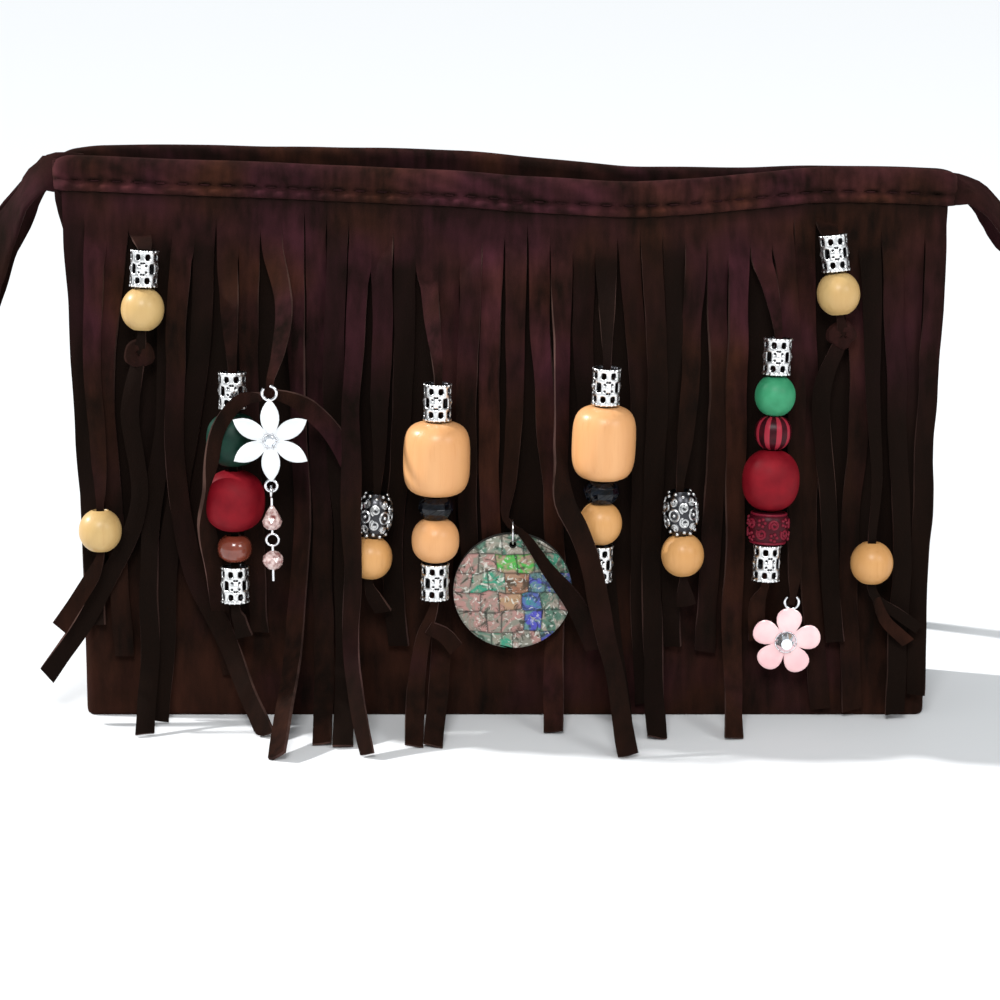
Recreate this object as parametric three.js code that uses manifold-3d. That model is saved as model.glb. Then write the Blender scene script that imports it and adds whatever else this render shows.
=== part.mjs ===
// Fringe crossbody bag in millimetres: X to the right along the front, Y to the back, Z up.
// The origin is the centre of the flat base.
import * as THREE from "three";
import { mergeVertices } from "three/addons/utils/BufferGeometryUtils.js";
import Module from "manifold-3d";

const wasm = await Module();
wasm.setup();
const { clamp, lerp, degToRad, smoothstep } = THREE.MathUtils;

// Pouch sizes
const baseWidth = 268;
const baseDepth = 50;
const sideFlare = 3.8;
const cornerFlare = 2.2;
const seamHalfDepth = 2.6;
const wall = 1.6;
const belly = 2.5;
const baseCorner = 7;
const mouthCorner = 1.6;
const frontPoints = 19;

// Hem, fringe and strap sizes
const gap = 0.3;
const hemRise = 2;
const hemDrop = 8.4;
const hemStations = 18;
const headHeight = 5;
const headGap = 0.8;
const stripPitch = 6.9;
const stripCount = 40;
const stripWide = 6.5;
const stripThick = 1.1;
const strungWide = 2.6;
const strungThick = 1.3;
const tipLift = 1.2;
const strapWide = 12.4;
const strapThick = 1.7;
const strapSteps = 100;

// The mouth, station by station along X: how far each edge bows out, and the height of its hem
const mouthRows = [
  { x: -141, frontBow: 0, backBow: 0, frontTop: 176.8, backTop: 177 },
  { x: -126, frontBow: 1, backBow: 3, frontTop: 176.4, backTop: 178.6 },
  { x: -64, frontBow: 5.5, backBow: 8, frontTop: 174.7, backTop: 177.4 },
  { x: -15, frontBow: 11, backBow: 7.5, frontTop: 173.3, backTop: 176.2 },
  { x: 8, frontBow: 14, backBow: 4.5, frontTop: 171.9, backTop: 174.5 },
  { x: 36, frontBow: 16, backBow: 0.5, frontTop: 170.9, backTop: 172.4 },
  { x: 50, frontBow: 14.5, backBow: 0, frontTop: 170.9, backTop: 172.2 },
  { x: 76, frontBow: 6.5, backBow: 0.3, frontTop: 171.8, backTop: 172 },
  { x: 98, frontBow: 1, backBow: 0.8, frontTop: 172.9, backTop: 172.4 },
  { x: 123, frontBow: 0, backBow: 0.4, frontTop: 172.6, backTop: 172.2 },
  { x: 141, frontBow: 0, backBow: 0, frontTop: 171.6, backTop: 171.6 },
];

// A smooth reading of one column of a table at x
function along(rows, column, x) {
  const last = rows.length - 1;
  let i = 0;
  while (i < last - 1 && x > rows[i + 1].x) i += 1;
  const slope = (k) => {
    const before = rows[Math.max(k - 1, 0)];
    const after = rows[Math.min(k + 1, last)];
    return (after[column] - before[column]) / (after.x - before.x);
  };
  const span = rows[i + 1].x - rows[i].x;
  const u = clamp((x - rows[i].x) / span, 0, 1);
  const start = rows[i][column];
  const end = rows[i + 1][column];
  const ease = u * u * (3 - 2 * u);
  const leave = slope(i) * span * u * (1 - u) * (1 - u);
  const arrive = slope(i + 1) * span * u * u * (u - 1);
  return lerp(start, end, ease) + leave + arrive;
}

function wallTop(side, x) {
  return along(mouthRows, side + "Top", x) - hemRise;
}

function halfWidth(up) {
  return baseWidth / 2 + sideFlare * Math.pow(up, 1.5) + cornerFlare * smoothstep(up, 0.84, 0.94);
}

// How far the pouch's outer face stands from the XZ plane
function outward(side, x, z) {
  const up = clamp(z / wallTop(side, x), 0, 1);
  const across = Math.min(Math.abs(x) / halfWidth(up), 1);
  const mouth = seamHalfDepth + along(mouthRows, side + "Bow", x);
  return lerp(baseDepth / 2, mouth, up) + belly * Math.sin(Math.PI * up) * (1 - across * across);
}

// A closed geometry with shared vertices, turned to face out
function tidy(geometry) {
  geometry.deleteAttribute("normal");
  geometry.deleteAttribute("uv");
  const merged = mergeVertices(geometry, 1e-4);
  const place = merged.getAttribute("position");
  const index = Array.from(merged.index.array);
  const faces = [];
  let volume = 0;
  for (let i = 0; i < index.length; i += 3) {
    const [a, b, c] = index.slice(i, i + 3);
    if (a === b || b === c || c === a) continue;
    faces.push([a, b, c]);
    const [p, q, r] = [a, b, c].map((k) => new THREE.Vector3().fromBufferAttribute(place, k));
    volume += p.dot(q.cross(r));
  }
  merged.setIndex(faces.flatMap(([a, b, c]) => (volume < 0 ? [a, c, b] : [a, b, c])));
  return merged;
}

// A skin over rings of equal count, closed at both ends by the triangles of a flat outline
function skin(rings, outline) {
  const count = rings[0].length;
  const faces = [];
  for (let i = 0; i < rings.length - 1; i += 1) {
    for (let k = 0; k < count; k += 1) {
      const next = (k + 1) % count;
      const [a, b, c, d] = [i * count + k, i * count + next, (i + 1) * count + next, (i + 1) * count + k];
      faces.push(a, b, c, a, c, d);
    }
  }
  const far = (rings.length - 1) * count;
  for (const [a, b, c] of THREE.ShapeUtils.triangulateShape(outline, [])) {
    faces.push(a, c, b, far + a, far + b, far + c);
  }
  if (THREE.ShapeUtils.area(outline) < 0) throw new Error("the outline runs the wrong way round");
  const geometry = new THREE.BufferGeometry().setFromPoints(rings.flat());
  geometry.setIndex(faces);
  return tidy(geometry);
}

function solid(geometry) {
  const vertProperties = new Float32Array(geometry.getAttribute("position").array);
  const triVerts = new Uint32Array(geometry.index.array);
  return new wasm.Manifold(new wasm.Mesh({ numProp: 3, vertProperties, triVerts }));
}

function fromSolid(body) {
  const mesh = body.getMesh();
  const geometry = new THREE.BufferGeometry();
  geometry.setAttribute("position", new THREE.BufferAttribute(new Float32Array(mesh.vertProperties), 3));
  geometry.setIndex(Array.from(mesh.triVerts));
  return geometry;
}

function fuse(geometries) {
  return fromSolid(geometries.map(solid).reduce((whole, piece) => whole.add(piece)));
}

const bag = new THREE.Group();
bag.name = "fringe_crossbody_bag";

function addMesh(name, geometry, look) {
  const material = new THREE.MeshStandardMaterial(look);
  const mesh = new THREE.Mesh(geometry, material);
  mesh.name = name;
  bag.add(mesh);
  return mesh;
}

// Finishes
const suede = { color: 0x2e1b1b, roughness: 0.95, metalness: 0 };
const silver = { color: 0xc9c9cc, roughness: 0.25, metalness: 1 };
const paleWood = { color: 0xe2bd80, roughness: 0.5, metalness: 0 };
const peachWood = { color: 0xecb878, roughness: 0.45, metalness: 0 };
const greenStain = { color: 0x2f9a6c, roughness: 0.35, metalness: 0 };
const redStain = { color: 0x9c2430, roughness: 0.5, metalness: 0 };
const redResin = { color: 0x7a1226, roughness: 0.35, metalness: 0 };
const amberGlass = { color: 0x7c3c2c, roughness: 0.15, metalness: 0 };
const blackGlass = { color: 0x0b0b0f, roughness: 0.1, metalness: 0 };
const whiteEnamel = { color: 0xf4f4f2, roughness: 0.2, metalness: 0 };
const pinkEnamel = { color: 0xf3cfd2, roughness: 0.2, metalness: 0 };
const roseCrystal = { color: 0xd9a8a4, roughness: 0.1, metalness: 0.2 };
const shell = { color: 0x8fa89c, roughness: 0.2, metalness: 0 };

// Pouch: rings from the base up the outside, over the rim and down the inside
const outerRows = [
  { up: 0, inset: 2.4 },
  { up: 0.007, inset: 0.6 },
  { up: 0.022, inset: 0 },
  { up: 0.25, inset: 0 },
  { up: 0.5, inset: 0 },
  { up: 0.75, inset: 0 },
  { up: 0.9, inset: 0 },
  { up: 1, inset: 0 },
];
const innerFloor = { up: wall / 175, inset: wall + 1.4 };

function pouchRing({ up, inset }) {
  const half = halfWidth(up) - inset;
  const corner = Math.max(lerp(baseCorner, mouthCorner, up) - inset, 0.5);
  const inner = half - corner;
  const stations = [-half, -half + 0.3 * corner];
  for (let k = 0; k < frontPoints; k += 1) stations.push(lerp(-inner, inner, k / (frontPoints - 1)));
  stations.push(half - 0.3 * corner, half);
  const edge = (side, x) => {
    const z = up * wallTop(side, x);
    const past = up > 0 ? clamp((Math.abs(x) - inner) / corner, 0, 1) : 0;
    const round = corner * (1 - Math.sqrt(1 - past * past));
    const depth = outward(side, x, z) - inset - round;
    return new THREE.Vector3(x, side === "front" ? -depth : depth, z);
  };
  const front = stations.map((x) => edge("front", x));
  const back = stations.map((x) => edge("back", x)).reverse();
  return [...front, ...back];
}

const innerRows = outerRows.slice(3).map(({ up }) => ({ up, inset: wall }));
const pouchRings = [...outerRows, ...innerRows.reverse(), innerFloor].map(pouchRing);
const baseOutline = pouchRings[0].map((p) => new THREE.Vector2(p.x, p.y));
addMesh("pouch", skin(pouchRings, baseOutline), suede);

// Hems: a folded band outside the wall that rolls over its rim, with a dip where the stitches pull
const hemSection = [
  { out: gap, rise: -hemDrop + 0.2 },
  { out: 1.9, rise: -hemDrop },
  { out: 1.6, rise: -6.2 },
  { out: 2.4, rise: -3 },
  { out: 2.0, rise: 0.8 },
  { out: 0.6, rise: hemRise },
  { out: -wall, rise: 1.2 },
  { out: -wall, rise: gap },
  { out: gap, rise: gap },
];

function hem(side) {
  const half = halfWidth(1) - 0.6;
  const rings = [];
  for (let k = 0; k <= hemStations; k += 1) {
    const x = lerp(-half, half, k / hemStations);
    const top = wallTop(side, x);
    const ring = hemSection.map(({ out, rise }) => {
      const depth = outward(side, x, top + rise) + out;
      return new THREE.Vector3(x, side === "front" ? -depth : depth, top + rise);
    });
    rings.push(ring);
  }
  const outline = hemSection.map(({ out, rise }) => new THREE.Vector2(out, rise));
  return skin(rings, outline);
}
addMesh("front_hem", hem("front"), suede);
addMesh("back_hem", hem("back"), suede);

// A point in front of the bag: x and z as seen, out from the pouch's face
function ahead(x, z, out) {
  return new THREE.Vector3(x, -outward("front", x, Math.max(z, 0)) - out, z);
}

// A flat ribbon along a smooth line of rows with a point, a width, a thickness and a turn about the line
function ribbon(rows, steps) {
  const curve = new THREE.CatmullRomCurve3(rows.map((row) => row.point), false, "centripetal");
  const last = rows.length - 1;
  const rings = [];
  for (let k = 0; k <= steps; k += 1) {
    const at = (k / steps) * last;
    const i = Math.min(Math.floor(at), last - 1);
    const read = (column) => lerp(rows[i][column], rows[i + 1][column], at - i);
    const point = curve.getPoint(k / steps);
    const tangent = curve.getTangent(k / steps);
    const face = new THREE.Vector3(0, -1, 0).projectOnPlane(tangent).normalize();
    face.applyAxisAngle(tangent, degToRad(read("turn")));
    const across = new THREE.Vector3().crossVectors(tangent, face);
    const corner = (w, t) => {
      const spot = point.clone();
      spot.addScaledVector(across, (w * read("wide")) / 2);
      spot.addScaledVector(face, (t * read("thick")) / 2);
      spot.z = Math.max(spot.z, tipLift + (stripThick / 2) * (t + 1));
      return spot;
    };
    rings.push([corner(-1, -1), corner(1, -1), corner(1, 1), corner(-1, 1)]);
  }
  const outline = [[-1, -1], [1, -1], [1, 1], [-1, 1]].map(([x, y]) => new THREE.Vector2(x, y));
  return skin(rings, outline);
}

// One row of a strip, turned from the pouch's own slope and kept clear of its face
function stripRow(x, z, out, wide = stripWide, turn = 0, thick = stripThick) {
  const clear = (wide / 2) * Math.abs(Math.sin(degToRad(turn))) + thick / 2 + headGap;
  const slope = (outward("front", x + 2, z) - outward("front", x - 2, z)) / 4;
  const lie = THREE.MathUtils.radToDeg(Math.atan(slope));
  return { point: ahead(x, z, Math.max(out, clear)), wide, turn: turn + lie, thick };
}

function stripTop(index) {
  return (index - (stripCount - 1) / 2) * stripPitch;
}

function slitTop(x) {
  return wallTop("front", x) - hemDrop - gap - headHeight;
}

// Head of the fringe: the uncut band under the front hem
function fringeHead() {
  const half = stripTop(stripCount - 1) + stripWide / 2;
  const rings = [];
  for (let k = 0; k <= hemStations; k += 1) {
    const x = lerp(-half, half, k / hemStations);
    const low = slitTop(x);
    const high = low + headHeight;
    const [inner, outer] = [headGap, headGap + stripThick];
    rings.push([ahead(x, low, inner), ahead(x, low, outer), ahead(x, high, outer), ahead(x, high, inner)]);
  }
  const outline = [[0, 0], [1, 0], [1, 1], [0, 1]].map(([x, y]) => new THREE.Vector2(x, y));
  return skin(rings, outline);
}

// Plain strips: x at two heights, the tip's x, height and distance ahead of the base centre, then how far
// out the strip lies at the upper and the lower height and how it turns by its tip
const upperHeight = 105;
const lowerHeight = 55;
const layerDrop = 11;
const plainStrips = [
  { index: 0, upper: -133.2, lower: -130.6, tip: -129.5, rise: 30, out: 1.4, low: 1.4, turn: 6 },
  { index: 2, upper: -125.4, lower: -122.8, tip: -121, rise: 20, out: 1.4, low: 1.4, turn: -6 },
  { index: 4, upper: -106, lower: -112, tip: -112.7, rise: 0.9, ahead: 44.6, out: 1.4, low: 3.2, turn: 2 },
  { index: 5, upper: -103.5, lower: -99.5, tip: -75, rise: 0.9, ahead: 46, out: 3, low: 4.6, turn: 20 },
  { index: 6, upper: -97, lower: -106.5, tip: -109.5, rise: 0.9, ahead: 33, out: 1.4, low: 1.4, turn: -5 },
  { index: 8, upper: -80, lower: -79, tip: -78, rise: 28, out: 1.4, low: 1.4, turn: 5 },
  { index: 10, upper: -65, lower: -64, tip: -69.5, rise: 1.6, ahead: 66.5, out: 1.4, low: 2.4, turn: 40 },
  { index: 11, upper: -58.6, lower: -57.6, tip: -57, rise: 0.9, ahead: 53.5, out: 1.4, low: 1.4, turn: 4 },
  { index: 12, upper: -53.4, lower: -51.2, tip: -50.2, rise: 0.9, ahead: 55.4, out: 3, low: 3, turn: -8 },
  { index: 15, upper: -31.5, lower: -35.5, tip: -33.5, rise: 24, out: 1.4, low: 1.6, turn: 12 },
  { index: 17, upper: -17, lower: -19, tip: -21.8, rise: 0.9, ahead: 55.4, out: 1.4, low: 1.4, turn: -4 },
  { index: 18, upper: -12, lower: -11, tip: -10, rise: 34, out: 3, low: 3, turn: -14 },
  { index: 19, upper: -5, lower: -4.2, tip: -3.6, rise: 33, out: 1.4, low: 1.6, turn: 10 },
  { index: 21, upper: 12, lower: 16, tip: 15, rise: 0.9, ahead: 42.7, out: 1.4, low: 1.4, turn: 6 },
  { index: 23, upper: 25, lower: 31, tip: 37, rise: 0.9, ahead: 31, out: 1.4, low: 1.4, turn: -6 },
  { index: 25, upper: 42, lower: 42.5, tip: 44.5, rise: 5, out: 1.4, low: 1.4, turn: 5 },
  { index: 26, upper: 47.2, lower: 45.7, tip: 47.7, rise: 0.9, ahead: 48.2, out: 3, low: 3, turn: -5 },
  { index: 27, upper: 52.6, lower: 51.5, tip: 52.5, rise: 24, out: 1.4, low: 1.4, turn: 8 },
  { index: 29, upper: 66.4, lower: 65.3, tip: 63.5, rise: 22, out: 1.4, low: 1.4, turn: -8 },
  { index: 30, upper: 72, lower: 72.5, tip: 71.4, rise: 0.9, ahead: 48.2, out: 3, low: 3, turn: 6 },
  { index: 33, upper: 95.5, lower: 96, tip: 101, rise: 3, out: 1.4, low: 1.4, turn: 12 },
  { index: 35, upper: 111.2, lower: 108.8, tip: 110.4, rise: 2.5, out: 1.4, low: 1.4, turn: -6 },
  { index: 37, upper: 122.6, lower: 125, tip: 123.8, rise: 2.5, out: 3, low: 4.6, turn: 5 },
  { index: 38, upper: 127.4, lower: 127, tip: 127.6, rise: 26, out: 1.4, low: 1.4, turn: -5 },
  { index: 39, upper: 133, lower: 131, tip: 130.4, rise: 8, out: 3, low: 3, turn: 6 },
];

// The start of a strip under the head, moving out to its own layer before it wanders sideways
function stripStart(index, nextX, out) {
  const x = stripTop(index);
  const flush = headGap + stripThick / 2;
  const tucked = stripRow(x, slitTop(x) + 2, flush, stripWide, 0, 0.6 * stripThick);
  const slit = stripRow(x, slitTop(x) - 2, flush);
  if (nextX === undefined) return [tucked, slit];
  return [tucked, slit, stripRow(lerp(x, nextX, 0.12), slitTop(x) - layerDrop, out)];
}

function plainStrip({ index, upper, lower, tip, rise, ahead: reach, out, low, turn }) {
  const end = stripRow(tip, rise, low + 0.6, stripWide, turn);
  if (reach) end.point.y = -reach;
  const near = stripRow(lerp(lower, tip, 0.55), lerp(lowerHeight, rise, 0.6), low, stripWide, 0.7 * turn);
  if (reach) near.point.y = Math.min(near.point.y, lerp(near.point.y, -reach, 0.15));
  const rows = [
    ...stripStart(index, upper, out),
    stripRow(upper, upperHeight, out, stripWide, 0.3 * turn),
    stripRow(lower, lowerHeight, low, stripWide, 0.5 * turn),
    near,
    end,
  ];
  return ribbon(rows, 8);
}

// Bead kinds: radius and height of the outside, the bore, and how square the shoulder is
const beadKinds = {
  silver_tube: { radius: 4.4, height: 11.6, bore: 3.5, look: silver, pierced: true, square: 40 },
  silver_oval: { radius: 5.7, height: 13.8, bore: 3, look: silver, pierced: true, square: 2.4 },
  wood_bead: { radius: 6.8, height: 13, bore: 2.2, look: paleWood, square: 2.1 },
  wide_wood_bead: { radius: 7.5, height: 13.8, bore: 2.2, look: peachWood, square: 2.4 },
  wood_barrel: { radius: 10.4, height: 23.2, bore: 2.4, look: peachWood, square: 3.4 },
  black_spacer: { radius: 5.6, height: 6.6, bore: 2.2, look: blackGlass, square: 2.6 },
  green_bead: { radius: 6.4, height: 12.2, bore: 2.2, look: greenStain, square: 2.1 },
  dark_green_bead: { radius: 8.4, height: 16.4, bore: 2.2, look: greenStain, square: 2.5 },
  red_bead: { radius: 9.8, height: 19, bore: 2.3, look: redStain, square: 2.7 },
  striped_bead: { radius: 5.6, height: 10.2, bore: 2.1, look: redResin, square: 2.4 },
  carved_bead: { radius: 6.6, height: 10, bore: 2.2, look: redResin, square: 5 },
  amber_bead: { radius: 5.4, height: 8.3, bore: 2.1, look: amberGlass, square: 2.4 },
};

// Strings of beads: the strip each hangs on, the ends of its line, and the strip's way before and after
const strings = [
  {
    name: "upper_left",
    index: 3,
    out: 9.3,
    top: { x: -111.2, z: 149.3 },
    foot: { x: -112.6, z: 124 },
    beads: ["silver_tube", "wood_bead"],
    knot: { x: -114, z: 117, out: 6.5 },
    before: [],
    after: [
      { x: -117, z: 98, out: 4.6, wide: 6 },
      { x: -115, z: 70, out: 5, wide: 6.2 },
      { x: -127.5, z: 42, out: 4, wide: 6.2 },
      { x: -145.5, z: 15.4, out: 7, wide: 6.2 },
    ],
  },
  {
    name: "left_edge",
    index: 1,
    out: 10.5,
    top: { x: -126.6, z: 68.8 },
    foot: { x: -126.8, z: 55.4 },
    beads: ["wood_bead"],
    before: [{ x: -129, z: 112, out: 3.2, wide: 6.2 }, { x: -127, z: 82, out: 7, wide: 5.4 }],
    after: [{ x: -129.5, z: 48, out: 10, wide: 5 }, { x: -140.2, z: 32, out: 12, wide: 6.2 }],
  },
  {
    name: "left",
    index: 7,
    out: 14,
    top: { x: -84.1, z: 113.3 },
    foot: { x: -84.2, z: 40.8 },
    beads: ["silver_tube", "dark_green_bead", "red_bead", "amber_bead", "silver_tube"],
    space: 1.4,
    before: [{ x: -85.5, z: 132, out: 5, wide: 6 }],
    after: [{ x: -83.5, z: 36, out: 12, wide: 5 }, { x: -82, z: 29, out: 10, wide: 6 }],
  },
  {
    name: "left_centre",
    index: 14,
    out: 10.5,
    top: { x: -39.8, z: 75.4 },
    foot: { x: -42.6, z: 47.6 },
    beads: ["silver_oval", "wood_bead"],
    before: [{ x: -38.5, z: 112, out: 2.8, wide: 6.2 }, { x: -39, z: 90, out: 6, wide: 5.4 }],
    after: [{ x: -41.5, z: 42, out: 8, wide: 5 }, { x: -38.5, z: 36, out: 5, wide: 5.6 }],
  },
  {
    name: "centre_left",
    index: 16,
    out: 15,
    top: { x: -20.6, z: 111 },
    foot: { x: -22, z: 41.2 },
    beads: ["silver_tube", "wood_barrel", "black_spacer", "wide_wood_bead", "silver_tube"],
    before: [{ x: -22.5, z: 130, out: 6, wide: 6 }],
    after: [
      { x: -25.5, z: 30, out: 14, wide: 5 },
      { x: -28.3, z: 14, out: 18, wide: 6.4 },
      { x: -28.3, z: 0.9, out: 30.4, wide: 6.4 },
    ],
  },
  {
    name: "centre_right",
    index: 24,
    out: 15,
    top: { x: 31, z: 116.6 },
    foot: { x: 28.7, z: 48.6 },
    beads: ["silver_tube", "wood_barrel", "black_spacer", "wood_bead", "silver_tube"],
    before: [{ x: 31.2, z: 134, out: 6, wide: 6 }],
    after: [{ x: 28.5, z: 40, out: 11, wide: 5 }, { x: 29.5, z: 27, out: 6, wide: 6 }],
  },
  {
    name: "right_centre",
    index: 28,
    out: 10.5,
    top: { x: 54.2, z: 76.8 },
    foot: { x: 55.6, z: 49 },
    beads: ["silver_oval", "wood_bead"],
    before: [{ x: 58, z: 120, out: 2.6, wide: 6.2 }, { x: 56, z: 92, out: 6, wide: 5.4 }],
    after: [{ x: 56, z: 44, out: 9.4, wide: 5 }, { x: 57, z: 39, out: 7, wide: 5.8 }],
  },
  {
    name: "right",
    index: 31,
    out: 13.5,
    top: { x: 84, z: 123.6 },
    foot: { x: 81.2, z: 48.2 },
    beads: ["silver_tube", "green_bead", "striped_bead", "red_bead", "carved_bead", "silver_tube"],
    before: [{ x: 81.5, z: 140, out: 5.5, wide: 6 }],
    after: [{ x: 79.5, z: 40, out: 9, wide: 5 }, { x: 79.5, z: 26, out: 4, wide: 6 }],
  },
  {
    name: "upper_right",
    index: 34,
    out: 9.3,
    top: { x: 101.2, z: 152.2 },
    foot: { x: 104, z: 127 },
    beads: ["silver_tube", "wood_bead"],
    knot: { x: 105, z: 121, out: 6.5 },
    before: [],
    after: [
      { x: 99, z: 104, out: 4.8, wide: 5.6 },
      { x: 101.5, z: 72, out: 3.4, wide: 6 },
      { x: 104.5, z: 25, out: 3.4, wide: 6.2 },
    ],
  },
  {
    name: "right_edge",
    index: 36,
    out: 10.5,
    top: { x: 114.9, z: 58.6 },
    foot: { x: 115, z: 45 },
    beads: ["wood_bead"],
    before: [{ x: 115, z: 110, out: 3.4, wide: 6 }, { x: 116.6, z: 76, out: 7, wide: 4.6 }],
    after: [
      { x: 117, z: 40.5, out: 10, wide: 5 },
      { x: 123, z: 37.5, out: 9, wide: 6 },
      { x: 130.5, z: 30.5, out: 8, wide: 6 },
    ],
  },
];

// Strips that cross in front of the beads or hold the charms
const crossingStrips = [
  {
    index: 9,
    rows: [
      { x: -68.5, z: 134, out: 7, wide: 6 },
      { x: -69.6, z: 120, out: 18, wide: 4.2 },
      { x: -71.4, z: 113.2, out: 25.4, wide: 2.4 },
      { x: -72, z: 109.6, out: 24.2, wide: 2.2 },
      { x: -74, z: 107.4, out: 21.6, wide: 2.6 },
      { x: -82, z: 106, out: 20.6, wide: 4.6 },
      { x: -90.8, z: 97.5, out: 22.8, wide: 4.6, turn: -42 },
      { x: -94, z: 84, out: 20.6, wide: 5, turn: -58 },
      { x: -95.8, z: 73, out: 17.4, wide: 5.2, turn: -72 },
      { x: -94.2, z: 60, out: 13, wide: 6, turn: -45 },
      { x: -90.5, z: 44, out: 9, wide: 6, turn: -12 },
      { x: -89.5, z: 30, out: 2.4, wide: 6.2 },
      { x: -87.5, z: 14, out: 1.4, wide: 6.2 },
    ],
  },
  {
    index: 13,
    rows: [
      { x: -47.6, z: 105, out: 6, wide: 6.4 },
      { x: -48.4, z: 78, out: 18, wide: 6.4 },
      { x: -48.6, z: 52, out: 18.6, wide: 6.4 },
      { x: -47.5, z: 24, out: 24, wide: 6, turn: 20 },
      { x: -42, z: 1.4, out: 39, wide: 5.4, turn: 30 },
    ],
  },
  {
    index: 20,
    rows: [
      { x: 3, z: 105, out: 2.8, wide: 6.4 },
      { x: 1.2, z: 78, out: 3.6, wide: 5 },
      { x: 0.2, z: 66.6, out: 6, wide: 2.2 },
      { x: 2.5, z: 63.9, out: 6.2, wide: 1.8 },
      { x: 5.2, z: 63, out: 9.4, wide: 2.6 },
      { x: 13.4, z: 51.1, out: 9.6, wide: 4.4 },
      { x: 21.3, z: 40.7, out: 9.6, wide: 6.4 },
      { x: 27.6, z: 24.7, out: 8, wide: 6.2 },
    ],
  },
  {
    index: 22,
    rows: [
      { x: 17.6, z: 121, out: 4, wide: 6, turn: -30 },
      { x: 17.4, z: 99, out: 9, wide: 5.6, turn: -64 },
      { x: 17.2, z: 87, out: 15, wide: 6, turn: -64 },
      { x: 18.6, z: 76.5, out: 23, wide: 6.4, turn: -34 },
      { x: 22.6, z: 68, out: 24, wide: 6.6, turn: -10 },
      { x: 28, z: 50, out: 22, wide: 6.6 },
      { x: 32.6, z: 28, out: 28, wide: 6.8 },
      { x: 38.2, z: 0.9, out: 39, wide: 6.8 },
    ],
  },
  {
    index: 32,
    rows: [
      { x: 90.5, z: 110, out: 3.2, wide: 6 },
      { x: 91, z: 72, out: 3.2, wide: 6 },
      { x: 90.8, z: 49, out: 11, wide: 4 },
      { x: 90.1, z: 43, out: 12.8, wide: 2.2 },
      { x: 90, z: 39.8, out: 10.3, wide: 2 },
      { x: 90, z: 36.8, out: 5.4, wide: 2.4 },
      { x: 91, z: 22, out: 2.4, wide: 5.6 },
    ],
  },
];

// Loose ends that leave another strip: the tail beside the white charm, and the second end under a bead
const looseEnds = [
  [
    { x: -72, z: 108.6, out: 22.2, wide: 2.4 },
    { x: -66.5, z: 107, out: 21, wide: 4 },
    { x: -60.6, z: 102.9, out: 16, wide: 6 },
    { x: -53, z: 94, out: 10.5, wide: 6.2 },
    { x: -48.4, z: 84, out: 9, wide: 6 },
  ],
  [
    { x: -24, z: 34, out: 14.6, wide: 4 },
    { x: -19, z: 31, out: 13, wide: 5 },
    { x: -15.5, z: 26, out: 11, wide: 5 },
  ],
  [
    { x: 116.6, z: 41, out: 10.2, wide: 4 },
    { x: 120.5, z: 33.5, out: 9.6, wide: 5.6 },
    { x: 130, z: 26.5, out: 7, wide: 5.6 },
  ],
];

const fillRow = ({ x, z, out, wide, turn = 0 }) => stripRow(x, z, out, wide, turn);

// A string's line, its beads in place, and the strip that runs through them
function hangString({ name, index, out, top, foot, beads, before, after, knot, space = gap }) {
  const start = ahead(top.x, top.z, out);
  const line = ahead(foot.x, foot.z, out).sub(start).normalize();
  const upLine = line.clone().negate();
  const turnUp = new THREE.Quaternion().setFromUnitVectors(new THREE.Vector3(0, 0, 1), upLine);
  let run = 0;
  beads.forEach((kind, place) => {
    const { height, look } = beadKinds[kind];
    const mesh = addMesh(`${name}_${place + 1}_${kind}`, beadShape(beadKinds[kind]), look);
    mesh.position.copy(start).addScaledVector(line, run + height / 2);
    mesh.quaternion.copy(turnUp);
    run += height + space;
  });
  const onLine = (distance) => ({
    point: start.clone().addScaledVector(line, distance),
    wide: strungWide,
    thick: strungThick,
    turn: 0,
  });
  const through = [-1.5, run * 0.2, run * 0.8, run + 1.2].map(onLine);
  const bulge = knot ? [stripRow(knot.x, knot.z, knot.out, 4.4)] : [];
  const begin = before.length ? stripStart(index, before[0].x, 3) : stripStart(index);
  const rows = [...begin, ...before.map(fillRow), ...through, ...bulge, ...after.map(fillRow)];
  const pieces = [ribbon(rows, 2 * (rows.length - 3))];
  if (knot) {
    const ball = new THREE.SphereGeometry(3.6, 8, 6);
    ball.scale(1.15, 0.85, 0.95);
    const at = ahead(knot.x, knot.z, knot.out);
    ball.translate(at.x, at.y, at.z);
    pieces.push(tidy(ball));
  }
  return pieces;
}

// A drilled bead turned from one closed profile
function turned({ radius, height, bore, square }) {
  const sides = radius > 7 ? 12 : 10;
  const levels = [-1, -0.7, 0, 0.7, 1];
  const rounding = (share) => Math.pow(1 - Math.pow(share, square), 1 / square);
  const end = rounding((bore + 0.35) / radius);
  const profile = levels.map((level) => {
    return new THREE.Vector2(radius * rounding(Math.abs(level) * end), (level * height) / 2);
  });
  const drilled = [new THREE.Vector2(bore, height / 2), new THREE.Vector2(bore, -height / 2)];
  const closed = [...profile, ...drilled, profile[0].clone()];
  const geometry = new THREE.LatheGeometry(closed, sides);
  geometry.rotateX(Math.PI / 2);
  return tidy(geometry);
}

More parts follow.
